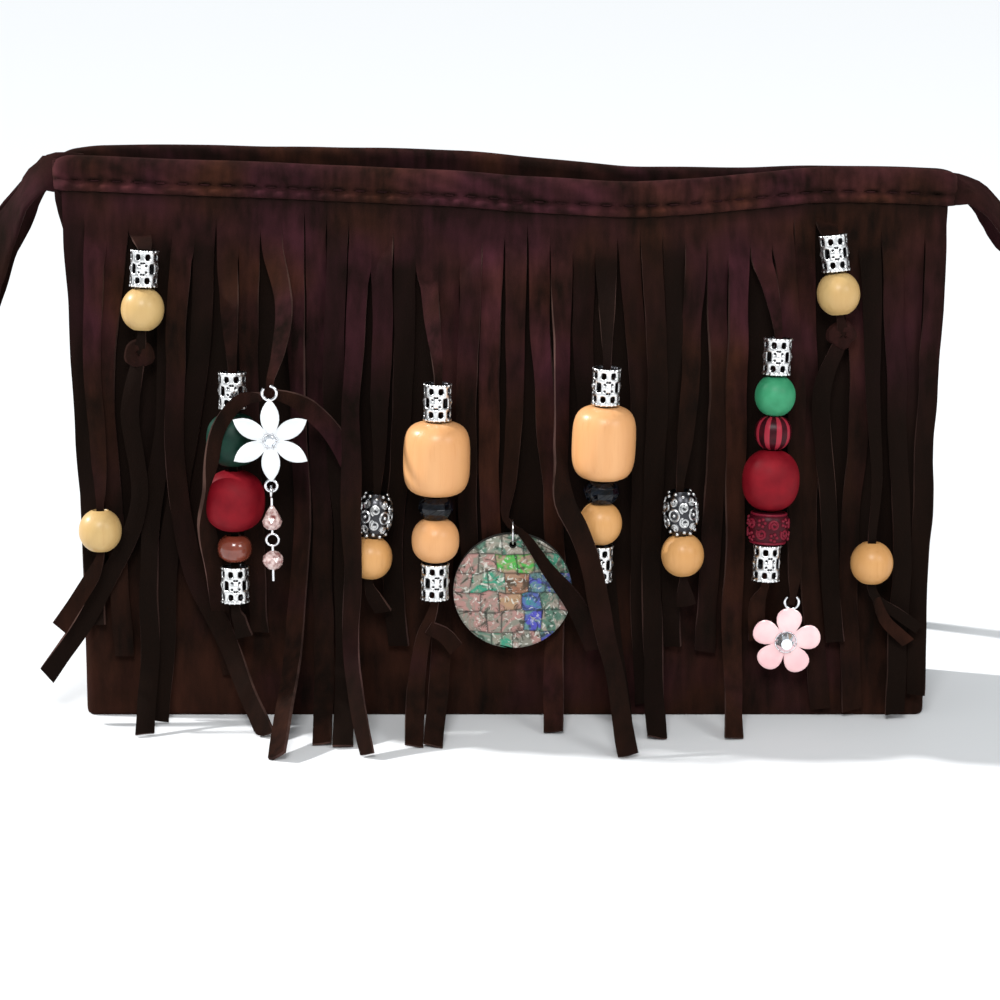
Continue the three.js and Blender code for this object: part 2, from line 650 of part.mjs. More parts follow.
// A pierced bead: a grid of cells round a turned wall, with two rows of gaps cut right through
function pierced({ radius, height, bore, square }) {
  const columns = 10;
  const levels = [-1, -0.72, -0.12, 0.12, 0.72, 1];
  const isGap = (row, column) => row % 2 === 1 && (column + (row === 1 ? 0 : 1)) % 2 === 0;
  const thick = 0.9;
  const points = [];
  for (const level of levels) {
    const round = Math.pow(1 - Math.pow(Math.abs(level), square), 1 / square);
    const outside = square > 10 ? radius : bore + thick + (radius - bore - thick) * round;
    for (const r of [outside, outside - thick]) {
      for (let k = 0; k < columns; k += 1) {
        const angle = (k / columns) * 2 * Math.PI;
        const point = new THREE.Vector3(r * Math.cos(angle), r * Math.sin(angle), (level * height) / 2);
        points.push(point);
      }
    }
  }
  const at = (row, inside, column) => (2 * row + inside) * columns + ((column + columns) % columns);
  const faces = [];
  const quad = (a, b, c, d) => faces.push(a, b, c, a, c, d);
  const rows = levels.length - 1;
  for (let row = 0; row < rows; row += 1) {
    for (let k = 0; k < columns; k += 1) {
      if (isGap(row, k)) {
        quad(at(row, 0, k), at(row, 0, k + 1), at(row, 1, k + 1), at(row, 1, k));
        quad(at(row + 1, 0, k + 1), at(row + 1, 0, k), at(row + 1, 1, k), at(row + 1, 1, k + 1));
        quad(at(row + 1, 0, k), at(row, 0, k), at(row, 1, k), at(row + 1, 1, k));
        quad(at(row, 0, k + 1), at(row + 1, 0, k + 1), at(row + 1, 1, k + 1), at(row, 1, k + 1));
      } else {
        quad(at(row, 0, k), at(row, 0, k + 1), at(row + 1, 0, k + 1), at(row + 1, 0, k));
        quad(at(row, 1, k + 1), at(row, 1, k), at(row + 1, 1, k), at(row + 1, 1, k + 1));
      }
    }
  }
  for (let k = 0; k < columns; k += 1) {
    quad(at(0, 0, k + 1), at(0, 0, k), at(0, 1, k), at(0, 1, k + 1));
    quad(at(rows, 0, k), at(rows, 0, k + 1), at(rows, 1, k + 1), at(rows, 1, k));
  }
  const geometry = new THREE.BufferGeometry().setFromPoints(points);
  geometry.setIndex(faces);
  return tidy(geometry);
}

function beadShape(kind) {
  return kind.pierced ? pierced(kind) : turned(kind);
}

const fringePieces = [fringeHead()];
fringePieces.push(...plainStrips.map(plainStrip));
fringePieces.push(...strings.flatMap(hangString));
for (const { index, rows } of crossingStrips) {
  const way = [...stripStart(index, rows[0].x, 3), ...rows.map(fillRow)];
  fringePieces.push(ribbon(way, 2 * (way.length - 2)));
}
for (const rows of looseEnds) fringePieces.push(ribbon(rows.map(fillRow), 2 * rows.length));
addMesh("fringe", fuse(fringePieces), suede);

// A wire ring about the Z axis
function wireRing(radius, wire, around = 10) {
  const profile = [];
  for (let k = 0; k <= 5; k += 1) {
    const angle = (k / 5) * 2 * Math.PI;
    profile.push(new THREE.Vector2(radius + wire * Math.cos(angle), wire * Math.sin(angle)));
  }
  const ring = new THREE.LatheGeometry(profile, around);
  ring.rotateX(Math.PI / 2);
  return tidy(ring);
}

// A cut stone with a flat table, eight facets and a point towards its seat, about the Z axis
function cutStone(radius, height) {
  const profile = [
    new THREE.Vector2(0, 0),
    new THREE.Vector2(radius, 0),
    new THREE.Vector2(radius, 0.35 * height),
    new THREE.Vector2(0.6 * radius, height),
    new THREE.Vector2(0, height),
  ];
  const stone = new THREE.LatheGeometry(profile, 8);
  stone.rotateX(Math.PI / 2);
  return tidy(stone);
}

// Petalled charm in the XY plane, its face towards +Z
const charmThick = 1.6;
function flower({ petals, notch, tip, shoulder, spread, pointed }) {
  const polar = (radius, degrees) => {
    const angle = degToRad(degrees);
    return [radius * Math.cos(angle), radius * Math.sin(angle)];
  };
  const step = 360 / petals;
  const shape = new THREE.Shape();
  shape.moveTo(...polar(notch, 90 - step / 2));
  for (let k = 0; k < petals; k += 1) {
    const middle = 90 + k * step;
    const end = polar(notch, middle + step / 2);
    if (pointed) {
      shape.quadraticCurveTo(...polar(shoulder, middle - spread), ...polar(tip, middle));
      shape.quadraticCurveTo(...polar(shoulder, middle + spread), ...end);
    } else {
      shape.bezierCurveTo(...polar(shoulder, middle - spread), ...polar(shoulder, middle + spread), ...end);
    }
  }
  const depth = { depth: charmThick, bevelEnabled: false, curveSegments: pointed ? 3 : 6 };
  return tidy(new THREE.ExtrudeGeometry(shape, depth));
}

// Stands a shape made in the XY plane upright, its face to the front, at a place before the bag
function standAt(mesh, { x, z, out, roll = 0 }) {
  mesh.position.copy(ahead(x, z, out));
  mesh.rotation.set(Math.PI / 2, 0, 0);
  mesh.rotateZ(degToRad(roll));
}

const whitePlace = { x: -71.6, z: 94.9, out: 24.2 };
const whiteTip = 13;
const loopRadius = 2.2;
const loopWire = 0.5;
const whiteSizes = { petals: 6, notch: 4, tip: whiteTip, shoulder: 9.8, spread: 27, pointed: true };
const whiteShape = flower(whiteSizes);
const topLoop = wireRing(loopRadius, loopWire).translate(0, whiteTip + 1.7, charmThick / 2);
const footDrop = whiteTip + 1.3;
const footLoop = wireRing(1.8, loopWire).translate(0, -footDrop, charmThick / 2);
const whiteStone = cutStone(2, 1.6).translate(0, 0, charmThick - 0.2);
const whiteFlower = addMesh("white_flower", fuse([whiteShape, topLoop, footLoop, whiteStone]), whiteEnamel);
standAt(whiteFlower, whitePlace);

const pinkPlace = { x: 88.4, z: 27.2, out: 8.2, roll: -7 };
const pinkTip = 11;
const pinkSizes = { petals: 5, notch: 4.6, tip: pinkTip, shoulder: 16, spread: 33, pointed: false };
const pinkShape = flower(pinkSizes);
const pinkLoop = wireRing(loopRadius, loopWire).translate(0, pinkTip + 1.9, charmThick / 2);
const pinkStone = cutStone(3.2, 2).translate(0, 0, charmThick - 0.2);
const pinkFlower = addMesh("pink_flower", fuse([pinkShape, pinkLoop, pinkStone]), pinkEnamel);
standAt(pinkFlower, pinkPlace);

// Crystal drop: a link through the charm's lower loop, two cut crystals, a ring between and a pin below
const dropRows = [
  { radius: 0.45, z: -3.4 },
  { radius: 0.45, z: -6.2 },
  { radius: 1.6, z: -8 },
  { radius: 3.1, z: -11.4 },
  { radius: 2, z: -13.6 },
  { radius: 0.45, z: -14.4 },
  { radius: 0.45, z: -15.4 },
];
const ballRows = [
  { radius: 0.45, z: -19.2 },
  { radius: 0.45, z: -20.6 },
  { radius: 2.6, z: -21.8 },
  { radius: 3.4, z: -23.8 },
  { radius: 2.6, z: -26 },
  { radius: 0.45, z: -27.2 },
  { radius: 0.45, z: -30.4 },
];
function spindle(rows) {
  const profile = rows.map(({ radius, z }) => new THREE.Vector2(radius, z));
  profile.unshift(new THREE.Vector2(0, rows[0].z));
  profile.push(new THREE.Vector2(0, rows[rows.length - 1].z));
  const body = new THREE.LatheGeometry(profile, 8);
  body.rotateX(Math.PI / 2);
  return tidy(body);
}
const link = wireRing(1.8, 0.42).rotateY(Math.PI / 2).translate(0, 0, -1.8);
const middleRing = wireRing(1.9, 0.45).rotateX(Math.PI / 2).translate(0, 0, -17.2);
const dropShape = fuse([link, spindle(dropRows), middleRing, spindle(ballRows)]);
const drop = addMesh("crystal_drop", dropShape, roseCrystal);
drop.position.copy(whiteFlower.position).add(new THREE.Vector3(0, -charmThick / 2, -footDrop));

// Shell mosaic disc with a drilled hole, hung by a wire bail
const discPlace = { x: 2.4, z: 43.6, out: 6.2 };
const discRadius = 18.7;
const discThick = 2.2;
const holeUp = 15.2;
const discShape = new THREE.Shape().absarc(0, 0, discRadius, 0, 2 * Math.PI);
discShape.holes.push(new THREE.Path().absarc(0, holeUp, 1.1, 0, 2 * Math.PI, true));
const discDepth = { depth: discThick, bevelEnabled: false, curveSegments: 16 };
const discGeometry = tidy(new THREE.ExtrudeGeometry(discShape, discDepth).translate(0, 0, -discThick / 2));
const disc = addMesh("shell_disc", discGeometry, shell);
standAt(disc, discPlace);
const bailRadius = 3.9;
const bailShape = wireRing(bailRadius, 0.35, 14).scale(1, 0.8, 1).rotateY(Math.PI / 2);
const bail = addMesh("bail", bailShape, silver);
bail.position.copy(disc.position).add(new THREE.Vector3(0, 0, holeUp + bailRadius));

// Strap: a small loop out of each corner, then loose bends on the surface behind the bag
const floorLine = strapWide / 2 + 0.9;
const strapRows = [
  { x: -140.5, y: 0, z: 170.2 },
  { x: -144.5, y: 0, z: 170.2 },
  { x: -149, y: 0, z: 166.4 },
  { x: -152.6, y: 0.5, z: 160.6 },
  { x: -158.5, y: 3, z: 147.5 },
  { x: -164.5, y: 5.5, z: 133 },
  { x: -169.5, y: 10, z: 121.5 },
  { x: -171, y: 18, z: 118 },
  { x: -168.5, y: 25, z: 128 },
  { x: -163.2, y: 28.3, z: 143.2 },
  { x: -157.1, y: 25.7, z: 156.7 },
  { x: -153.4, y: 25.2, z: 162.7 },
  { x: -148.8, y: 25.2, z: 166.6 },
  { x: -144.7, y: 25.2, z: 166.6 },
  { x: -134, y: 26, z: 158 },
  { x: -112, y: 28, z: 118 },
  { x: -92, y: 32, z: 70 },
  { x: -70, y: 37, z: 28 },
  { x: -44, y: 41, z: 10.5 },
  { x: -10, y: 43, z: floorLine },
  { x: 50, y: 45, z: floorLine },
  { x: 100, y: 47, z: floorLine },
  { x: 120, y: 56, z: floorLine },
  { x: 118, y: 68, z: floorLine },
  { x: 96, y: 74, z: floorLine },
  { x: 40, y: 74, z: floorLine },
  { x: -60, y: 72, z: floorLine },
  { x: -102, y: 74, z: floorLine },
  { x: -120, y: 82, z: floorLine },
  { x: -112, y: 94, z: floorLine },
  { x: -90, y: 97, z: floorLine },
  { x: -20, y: 97, z: floorLine },
  { x: 50, y: 97, z: floorLine },
  { x: 92, y: 93, z: floorLine },
  { x: 112, y: 84, z: 14 },
  { x: 124, y: 72, z: 40 },
  { x: 130, y: 56, z: 80 },
  { x: 134, y: 40, z: 120 },
  { x: 138, y: 29, z: 150 },
  { x: 144.8, y: 25.2, z: 161.9 },
  { x: 148.9, y: 25.2, z: 161.9 },
  { x: 152.5, y: 25.2, z: 159.2 },
  { x: 158.7, y: 25.7, z: 153.5 },
  { x: 165.9, y: 27.3, z: 141.7 },
  { x: 170, y: 20, z: 134 },
  { x: 170.5, y: 11, z: 131 },
  { x: 167, y: 5, z: 136.5 },
  { x: 161, y: 2, z: 146 },
  { x: 154, y: 0.5, z: 157.5 },
  { x: 148, y: 0, z: 163 },
  { x: 144.5, y: 0, z: 165.6 },
  { x: 140.5, y: 0, z: 165.6 },
];

function strapShape() {
  const points = strapRows.map(({ x, y, z }) => new THREE.Vector3(x, y, z));
  const curve = new THREE.CatmullRomCurve3(points, false, "centripetal");
  const rings = [];
  for (let k = 0; k <= strapSteps; k += 1) {
    const point = curve.getPointAt(k / strapSteps);
    const tangent = curve.getTangentAt(k / strapSteps);
    const tall = new THREE.Vector3(0, 0, 1).projectOnPlane(tangent).normalize();
    const face = new THREE.Vector3().crossVectors(tangent, tall);
    const corner = (w, t) => {
      const spot = point.clone();
      spot.addScaledVector(tall, (w * strapWide) / 2);
      return spot.addScaledVector(face, (t * strapThick) / 2);
    };
    rings.push([corner(-1, -1), corner(1, -1), corner(1, 1), corner(-1, 1)]);
  }
  const outline = [[-1, -1], [1, -1], [1, 1], [-1, 1]].map(([x, y]) => new THREE.Vector2(x, y));
  return skin(rings, outline);
}
addMesh("strap", strapShape(), suede);

export default bag;
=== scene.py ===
import math
import bpy
from mathutils import Matrix, Quaternion, Vector, noise


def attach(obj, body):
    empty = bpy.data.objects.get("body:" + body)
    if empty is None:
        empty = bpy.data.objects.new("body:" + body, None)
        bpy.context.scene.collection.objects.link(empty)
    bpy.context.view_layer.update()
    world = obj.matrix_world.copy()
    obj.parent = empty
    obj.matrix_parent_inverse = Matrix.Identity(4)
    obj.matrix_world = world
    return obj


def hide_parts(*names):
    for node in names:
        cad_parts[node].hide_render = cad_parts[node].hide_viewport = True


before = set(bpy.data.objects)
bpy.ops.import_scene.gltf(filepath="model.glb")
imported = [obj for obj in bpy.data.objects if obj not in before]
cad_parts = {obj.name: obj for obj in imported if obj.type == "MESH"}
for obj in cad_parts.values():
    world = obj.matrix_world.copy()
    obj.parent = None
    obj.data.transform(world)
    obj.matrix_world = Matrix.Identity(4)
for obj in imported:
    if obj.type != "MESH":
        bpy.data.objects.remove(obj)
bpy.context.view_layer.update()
mm = 0.001  # tables below are in millimetres, as in the source of the solids


# small maths

def lerp(a, b, t):
    return a + (b - a) * t


def clamp(value, low=0.0, high=1.0):
    return max(low, min(high, value))


def smoothStep(value, low, high):
    t = clamp((value - low) / (high - low))
    return t * t * (3 - 2 * t)


def wobble(seed, t, scale=1.0):  # smooth wandering between about -1 and 1
    return noise.noise(Vector((t * scale, seed * 7.31, seed * 1.77)))


def curveAt(points, at):  # centripetal curve through the points, at counted in points
    last = len(points) - 1
    i = min(int(at), last - 1)
    t = at - i
    p1, p2 = points[i], points[i + 1]
    p0 = points[i - 1] if i > 0 else p1 * 2 - p2
    p3 = points[i + 2] if i + 2 <= last else p2 * 2 - p1
    d0, d1, d2 = (max((b - a).length, 1e-4) ** 0.5 for a, b in ((p0, p1), (p1, p2), (p2, p3)))
    leave = ((p1 - p0) / d0 - (p2 - p0) / (d0 + d1) + (p2 - p1) / d1) * d1
    arrive = ((p2 - p1) / d1 - (p3 - p1) / (d1 + d2) + (p3 - p2) / d2) * d1
    second = (p2 - p1) * 3 - leave * 2 - arrive
    third = (p1 - p2) * 2 + leave + arrive
    point = p1 + leave * t + second * t * t + third * t * t * t
    tangent = (leave + second * 2 * t + third * 3 * t * t).normalized()
    return point, tangent


def evenSteps(points, spacing):  # places along a curve at nearly equal distances
    fine = [k / 24 for k in range(24 * (len(points) - 1) + 1)]
    run = [0.0]
    for a, b in zip(fine, fine[1:]):
        run.append(run[-1] + (curveAt(points, b)[0] - curveAt(points, a)[0]).length)
    count = max(4, round(run[-1] / spacing))
    places, k = [], 0
    for step in range(count + 1):
        want = run[-1] * step / count
        while k < len(run) - 2 and run[k + 1] < want:
            k += 1
        share = (want - run[k]) / max(run[k + 1] - run[k], 1e-9)
        places.append(lerp(fine[k], fine[k + 1], clamp(share)))
    return places, run[-1]


# handling of pieces

def clearSelection():
    if bpy.context.mode != "OBJECT":
        bpy.ops.object.mode_set(mode="OBJECT")
    bpy.ops.object.select_all(action="DESELECT")


def pickOnly(piece):
    clearSelection()
    piece.select_set(True)
    bpy.context.view_layer.objects.active = piece


def editAll(piece):
    pickOnly(piece)
    bpy.ops.object.mode_set(mode="EDIT")
    bpy.ops.mesh.select_mode(type="FACE")
    bpy.ops.mesh.select_all(action="SELECT")


def pickFaces(piece, wanted):  # from edit mode, selects faces by their place or normal
    bpy.ops.mesh.select_all(action="DESELECT")
    bpy.ops.object.mode_set(mode="OBJECT")
    for face in piece.data.polygons:
        face.select = wanted(face)
    bpy.ops.object.mode_set(mode="EDIT")


def useModifier(piece, kind, **settings):
    pickOnly(piece)
    modifier = piece.modifiers.new(kind.lower(), kind)
    for key, value in settings.items():
        setattr(modifier, key, value)
    bpy.ops.object.modifier_apply(modifier=modifier.name)


def subdivided(piece, levels=1):
    useModifier(piece, "SUBSURF", levels=levels, render_levels=levels)


def closeUp(piece):  # merges seams, fills open ends and turns faces out
    editAll(piece)
    bpy.ops.mesh.remove_doubles(threshold=1e-7)
    bpy.ops.mesh.fill_holes(sides=0)
    bpy.ops.mesh.normals_make_consistent(inside=False)
    bpy.ops.object.mode_set(mode="OBJECT")


def smoothShade(piece, angle=40):
    pickOnly(piece)
    bpy.ops.object.shade_smooth_by_angle(angle=math.radians(angle))


def joined(pieces, name):
    pickOnly(pieces[0])
    for piece in pieces[1:]:
        piece.select_set(True)
    if len(pieces) > 1:
        bpy.ops.object.join()
    pieces[0].name = name
    pieces[0].data.name = name
    return pieces[0]


def placedCopy(model, name, matrix):
    piece = model.copy()
    piece.data = model.data.copy()
    piece.name = name
    piece.data.name = name
    bpy.context.collection.objects.link(piece)
    piece.data.transform(matrix)
    return piece


def drop(*pieces):
    for piece in pieces:
        bpy.data.objects.remove(piece)


def dress(piece, slot, *looks):
    piece.data.materials.clear()
    for look in looks:
        piece.data.materials.append(look)
    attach(piece, "root")
    return piece


def gridSheet(name, across, along, place):  # a grid whose points go where place(u, v) says
    clearSelection()
    bpy.ops.mesh.primitive_grid_add(x_subdivisions=across, y_subdivisions=along, size=1)
    piece = bpy.context.object
    piece.name = name
    piece.data.name = name
    for vert in piece.data.vertices:
        vert.co = place(vert.co.x + 0.5, vert.co.y + 0.5)
    return piece


def addValues(piece, name, value):  # a number for each point, read by the materials
    attribute = piece.data.attributes.new(name, "FLOAT", "POINT")
    attribute.data.foreach_set("value", [value(vert.co) for vert in piece.data.vertices])


def pullRings(rows, sides, twist=0.0):  # pulls a ring of edges through rows of (radius, height)
    clearSelection()
    radius, height = rows[0]
    bpy.ops.mesh.primitive_circle_add(vertices=sides, radius=radius, enter_editmode=True)
    bpy.ops.mesh.select_mode(type="EDGE")
    bpy.ops.mesh.select_all(action="SELECT")
    bpy.ops.transform.translate(value=(0, 0, height))
    for nextRadius, nextHeight in rows[1:]:
        bpy.ops.mesh.extrude_region_move(TRANSFORM_OT_translate={"value": (0, 0, nextHeight - height)})
        ratio = nextRadius / radius
        centre = (0, 0, nextHeight)
        bpy.ops.transform.resize(value=(ratio, ratio, 1), center_override=centre)
        if twist:
            bpy.ops.transform.rotate(value=twist, orient_axis="Z", center_override=centre)
        radius, height = nextRadius, nextHeight


def turnOnLathe(name, profile, sides):  # rings closed from the last to the first
    pullRings(profile, sides)
    bpy.ops.mesh.select_mode(type="EDGE")
    bpy.ops.mesh.select_all(action="DESELECT")
    bpy.ops.mesh.select_non_manifold(extend=False)
    bpy.ops.mesh.bridge_edge_loops()
    bpy.ops.mesh.select_all(action="SELECT")
    bpy.ops.mesh.normals_make_consistent(inside=False)
    bpy.ops.object.mode_set(mode="OBJECT")
    piece = bpy.context.object
    piece.name = name
    return piece


def bentWires(name, paths, thickness, roundness=2):  # (points, closed) each become one round wire
    curve = bpy.data.curves.new(name, "CURVE")
    curve.dimensions = "3D"
    curve.bevel_depth = thickness
    curve.bevel_resolution = roundness
    curve.use_fill_caps = True
    for points, closed in paths:
        spline = curve.splines.new("POLY")
        spline.points.add(len(points) - 1)
        for target, point in zip(spline.points, points):
            target.co = (*point, 1)
        spline.use_cyclic_u = closed
    piece = bpy.data.objects.new(name, curve)
    bpy.context.collection.objects.link(piece)
    pickOnly(piece)
    bpy.ops.object.convert(target="MESH")
    return bpy.context.object


def circlePath(radius, count, turn=Matrix.Identity(3), centre=(0, 0, 0), gap=0, gapAt=90):
    sweep = math.radians(360 - gap)  # an open ring leaves out the gap, in degrees
    first = math.radians(gapAt + gap / 2)
    angles = [first + sweep * k / count for k in range(count + (1 if gap else 0))]
    spots = [Vector((radius * math.cos(a), radius * math.sin(a), 0)) for a in angles]
    return [turn @ spot + Vector(centre) for spot in spots], gap == 0


# camera, floor and light

viewSettings = {
    "place": (-0.0016, -0.841, 0.2901),
    "target": (-0.0016, -0.020, 0.0701),
    "lens": 97.1,
    "sensor": 36,
    "floorSize": 40,
    "floorColour": (0.78, 0.79, 0.8),
    "floorRoughness": 0.8,
    "skyColour": (0.9, 0.96, 1.0),
    "skyStrength": 0.42,
    "sunFrom": (-0.78, 0.15, 0.62),
    "sunStrength": 4.2,
    "sunAngle": 3,
}
lamps = {  # place, what it looks at, size, watts
    "frontLamp": ((-0.1, -1.3, 1.2), (0, 0, 0.08), 0.5, 17),
    "rightLamp": ((1.1, -1.1, 0.9), (0, 0, 0.1), 0.5, 7),
}


def aimed(place, target):
    return (Vector(target) - Vector(place)).to_track_quat("-Z", "Y").to_euler()


def makeStage(settings):
    clearSelection()
    spot = settings["place"]
    bpy.ops.object.camera_add(location=spot, rotation=aimed(spot, settings["target"]))
    camera = bpy.context.object
    camera.data.lens = settings["lens"]
    camera.data.sensor_width = settings["sensor"]
    scene = bpy.context.scene
    scene.camera = camera
    scene.view_settings.view_transform = "Standard"
    bpy.ops.mesh.primitive_plane_add(size=settings["floorSize"])
    floor = bpy.context.object
    floor.name = "floor"
    look = bpy.data.materials.new("paleFloor")
    look.use_nodes = True
    shader = look.node_tree.nodes["Principled BSDF"]
    shader.inputs["Base Color"].default_value = (*settings["floorColour"], 1)
    shader.inputs["Roughness"].default_value = settings["floorRoughness"]
    floor.data.materials.append(look)
    scene.world = bpy.data.worlds.new("softSky")
    scene.world.use_nodes = True
    sky = scene.world.node_tree.nodes["Background"]
    sky.inputs["Color"].default_value = (*settings["skyColour"], 1)
    sky.inputs["Strength"].default_value = settings["skyStrength"]
    bpy.ops.object.light_add(type="SUN", rotation=aimed(settings["sunFrom"], (0, 0, 0)))
    sun = bpy.context.object
    sun.data.energy = settings["sunStrength"]
    sun.data.angle = math.radians(settings["sunAngle"])
    for name, (place, target, size, watts) in lamps.items():
        clearSelection()
        bpy.ops.object.light_add(type="AREA", location=place, rotation=aimed(place, target))
        lamp = bpy.context.object
        lamp.name = name
        lamp.data.size = size
        lamp.data.energy = watts


makeStage(viewSettings)
print("camera, floor and light are set")


# shared effects as node groups

def newGroup(name, inputs, outputs):
    group = bpy.data.node_groups.new(name, "ShaderNodeTree")
    for label, kind, value in inputs:
        socket = group.interface.new_socket(label, in_out="INPUT", socket_type="NodeSocket" + kind)
        socket.default_value = value
    for label, kind in outputs:
        group.interface.new_socket(label, in_out="OUTPUT", socket_type="NodeSocket" + kind)
    return group, group.nodes.new("NodeGroupInput"), group.nodes.new("NodeGroupOutput")


def addNode(tree, kind, **settings):
    node = tree.nodes.new("ShaderNode" + kind)
    for key, value in settings.items():
        setattr(node, key, value)
    return node


def addNoise(tree, scale, detail=2.0, stretch=(1, 1, 1), distortion=0.0):  # noise on Object coordinates
    coords = addNode(tree, "TexCoord")
    mapping = addNode(tree, "Mapping")
    mapping.inputs["Scale"].default_value = stretch
    texture = addNode(tree, "TexNoise")
    texture.inputs["Scale"].default_value = scale
    texture.inputs["Detail"].default_value = detail
    texture.inputs["Distortion"].default_value = distortion
    tree.links.new(coords.outputs["Object"], mapping.inputs["Vector"])
    tree.links.new(mapping.outputs["Vector"], texture.inputs["Vector"])
    return texture.outputs["Fac"]


def addRange(tree, source, low, high, toLow=0.0, toHigh=1.0):
    node = addNode(tree, "MapRange")
    for label, value in (("From Min", low), ("From Max", high), ("To Min", toLow), ("To Max", toHigh)):
        node.inputs[label].default_value = value
    tree.links.new(source, node.inputs["Value"])
    return node.outputs["Result"]


def addMath(tree, operation, first, second):
    node = addNode(tree, "Math", operation=operation, use_clamp=False)
    for socket, value in zip(node.inputs, (first, second)):
        if isinstance(value, (int, float)):
            socket.default_value = value
        else:
            tree.links.new(value, socket)
    return node.outputs["Value"]


def addMix(tree, share, first, second, blend="MIX"):
    node = addNode(tree, "Mix", data_type="RGBA", blend_type=blend)
    for socket, value in ((node.inputs[0], share), (node.inputs[6], first), (node.inputs[7], second)):
        if isinstance(value, (int, float)):
            socket.default_value = value
        elif isinstance(value, tuple):
            socket.default_value = (*value, 1)
        else:
            tree.links.new(value, socket)
    return node.outputs[2]


def makeNapGroup():  # brushed nap: mottled colour and a short pile
    inputs = [("Dark", "Color", (0.01, 0.005, 0.005, 1)), ("Warm", "Color", (0.05, 0.02, 0.02, 1)),
              ("Cool", "Color", (0.05, 0.02, 0.03, 1)), ("Tone", "Float", 0.5), ("Shift", "Float", 0.0)]
    group, start, end = newGroup("brushedNap", inputs, [("Color", "Color"), ("Height", "Float")])
    patches = addRange(group, addNoise(group, 46, 4), 0.36, 0.66)
    strokes = addRange(group, addNoise(group, 330, 3, (1, 1, 0.2)), 0.34, 0.7)
    pile = addNoise(group, 2600, 2)
    wearAndPaintedShading = addMath(group, "MULTIPLY", patches, 0.55)
    share = addMath(group, "ADD", wearAndPaintedShading, addMath(group, "MULTIPLY", strokes, 0.4))
    share = addMath(group, "MULTIPLY", share, start.outputs["Tone"])
    tinge = addMath(group, "ADD", addNoise(group, 30, 2), start.outputs["Shift"])
    hue = addMix(group, addRange(group, tinge, 0.38, 0.62), start.outputs["Warm"], start.outputs["Cool"])
    colour = addMix(group, share, start.outputs["Dark"], hue)
    height = addMath(group, "ADD", addMath(group, "MULTIPLY", strokes, 0.55), pile)
    group.links.new(colour, end.inputs["Color"])
    group.links.new(height, end.inputs["Height"])
    return group


def makeGrainGroup():  # wood grain along Z
    inputs = [("Light", "Color", (0.8, 0.6, 0.3, 1)), ("Dark", "Color", (0.6, 0.4, 0.2, 1))]
    group, start, end = newGroup("woodGrain", inputs, [("Color", "Color"), ("Height", "Float")])
    bands = addRange(group, addNoise(group, 170, 3, (1, 1, 0.12)), 0.35, 0.68)
    pores = addRange(group, addNoise(group, 900, 2, (1, 1, 0.07)), 0.55, 0.72)
    fine = addMath(group, "MULTIPLY", pores, 0.3)
    share = addMath(group, "ADD", addMath(group, "MULTIPLY", bands, 0.7), fine)
    colour = addMix(group, share, start.outputs["Light"], start.outputs["Dark"])
    group.links.new(colour, end.inputs["Color"])
    group.links.new(addMath(group, "MULTIPLY", pores, -1.0), end.inputs["Height"])
    return group


def makeCloudGroup():  # soft cloudy change between two colours, and of the gloss
    inputs = [("First", "Color", (0.5, 0.5, 0.5, 1)), ("Second", "Color", (0.5, 0.5, 0.5, 1)),
              ("Scale", "Float", 200.0)]
    group, start, end = newGroup("cloudyFilm", inputs, [("Color", "Color"), ("Gloss", "Float")])
    coords = addNode(group, "TexCoord")
    texture = addNode(group, "TexNoise")
    texture.inputs["Detail"].default_value = 3
    group.links.new(coords.outputs["Object"], texture.inputs["Vector"])
    group.links.new(start.outputs["Scale"], texture.inputs["Scale"])
    share = addRange(group, texture.outputs["Fac"], 0.35, 0.68)
    colour = addMix(group, share, start.outputs["First"], start.outputs["Second"])
    group.links.new(colour, end.inputs["Color"])
    group.links.new(share, end.inputs["Gloss"])
    return group


napGroup = makeNapGroup()
grainGroup = makeGrainGroup()
cloudGroup = makeCloudGroup()


def newLook(name, **sockets):
    look = bpy.data.materials.new(name)
    look.use_nodes = True
    shader = look.node_tree.nodes["Principled BSDF"]
    for label, value in sockets.items():
        socket = shader.inputs[label.replace("_", " ")]
        socket.default_value = (*value, 1) if isinstance(value, tuple) else value
    return look, look.node_tree, shader


def useGroup(tree, group, **values):
    node = addNode(tree, "Group", node_tree=group)
    for label, value in values.items():
        socket = node.inputs[label]
        if isinstance(value, tuple):
            socket.default_value = (*value, 1)
        elif isinstance(value, (int, float)):
            socket.default_value = value
        else:
            tree.links.new(value, socket)
    return node


def addBump(tree, shader, height, strength, distance):
    bump = addNode(tree, "Bump")
    bump.inputs["Strength"].default_value = strength
    bump.inputs["Distance"].default_value = distance
    tree.links.new(height, bump.inputs["Height"])
    tree.links.new(bump.outputs["Normal"], shader.inputs["Normal"])


def readValue(tree, name):
    return addNode(tree, "Attribute", attribute_name=name).outputs["Fac"]


def makeSuede():
    look, tree, shader = newLook("darkSuede", Roughness=0.95, Specular_IOR_Level=0.04,
                                 Sheen_Weight=0.07, Sheen_Roughness=0.5, Sheen_Tint=(0.5, 0.2, 0.15))
    tone = addMath(tree, "MAXIMUM", addMath(tree, "ADD", readValue(tree, "tone"), 0.35), 0.03)
    height = addNode(tree, "SeparateXYZ")
    tree.links.new(addNode(tree, "TexCoord").outputs["Object"], height.inputs["Vector"])
    faded = addRange(tree, height.outputs["Z"], 0.03, 0.14, -0.14, 0.03)  # browner low down
    nap = useGroup(tree, napGroup, Dark=(0.005, 0.003, 0.0021), Warm=(0.074, 0.0235, 0.0135),
                   Cool=(0.074, 0.0192, 0.0285), Tone=tone, Shift=faded)
    tree.links.new(nap.outputs["Color"], shader.inputs["Base Color"])
    addBump(tree, shader, nap.outputs["Height"], 0.35, 0.0003)
    return look


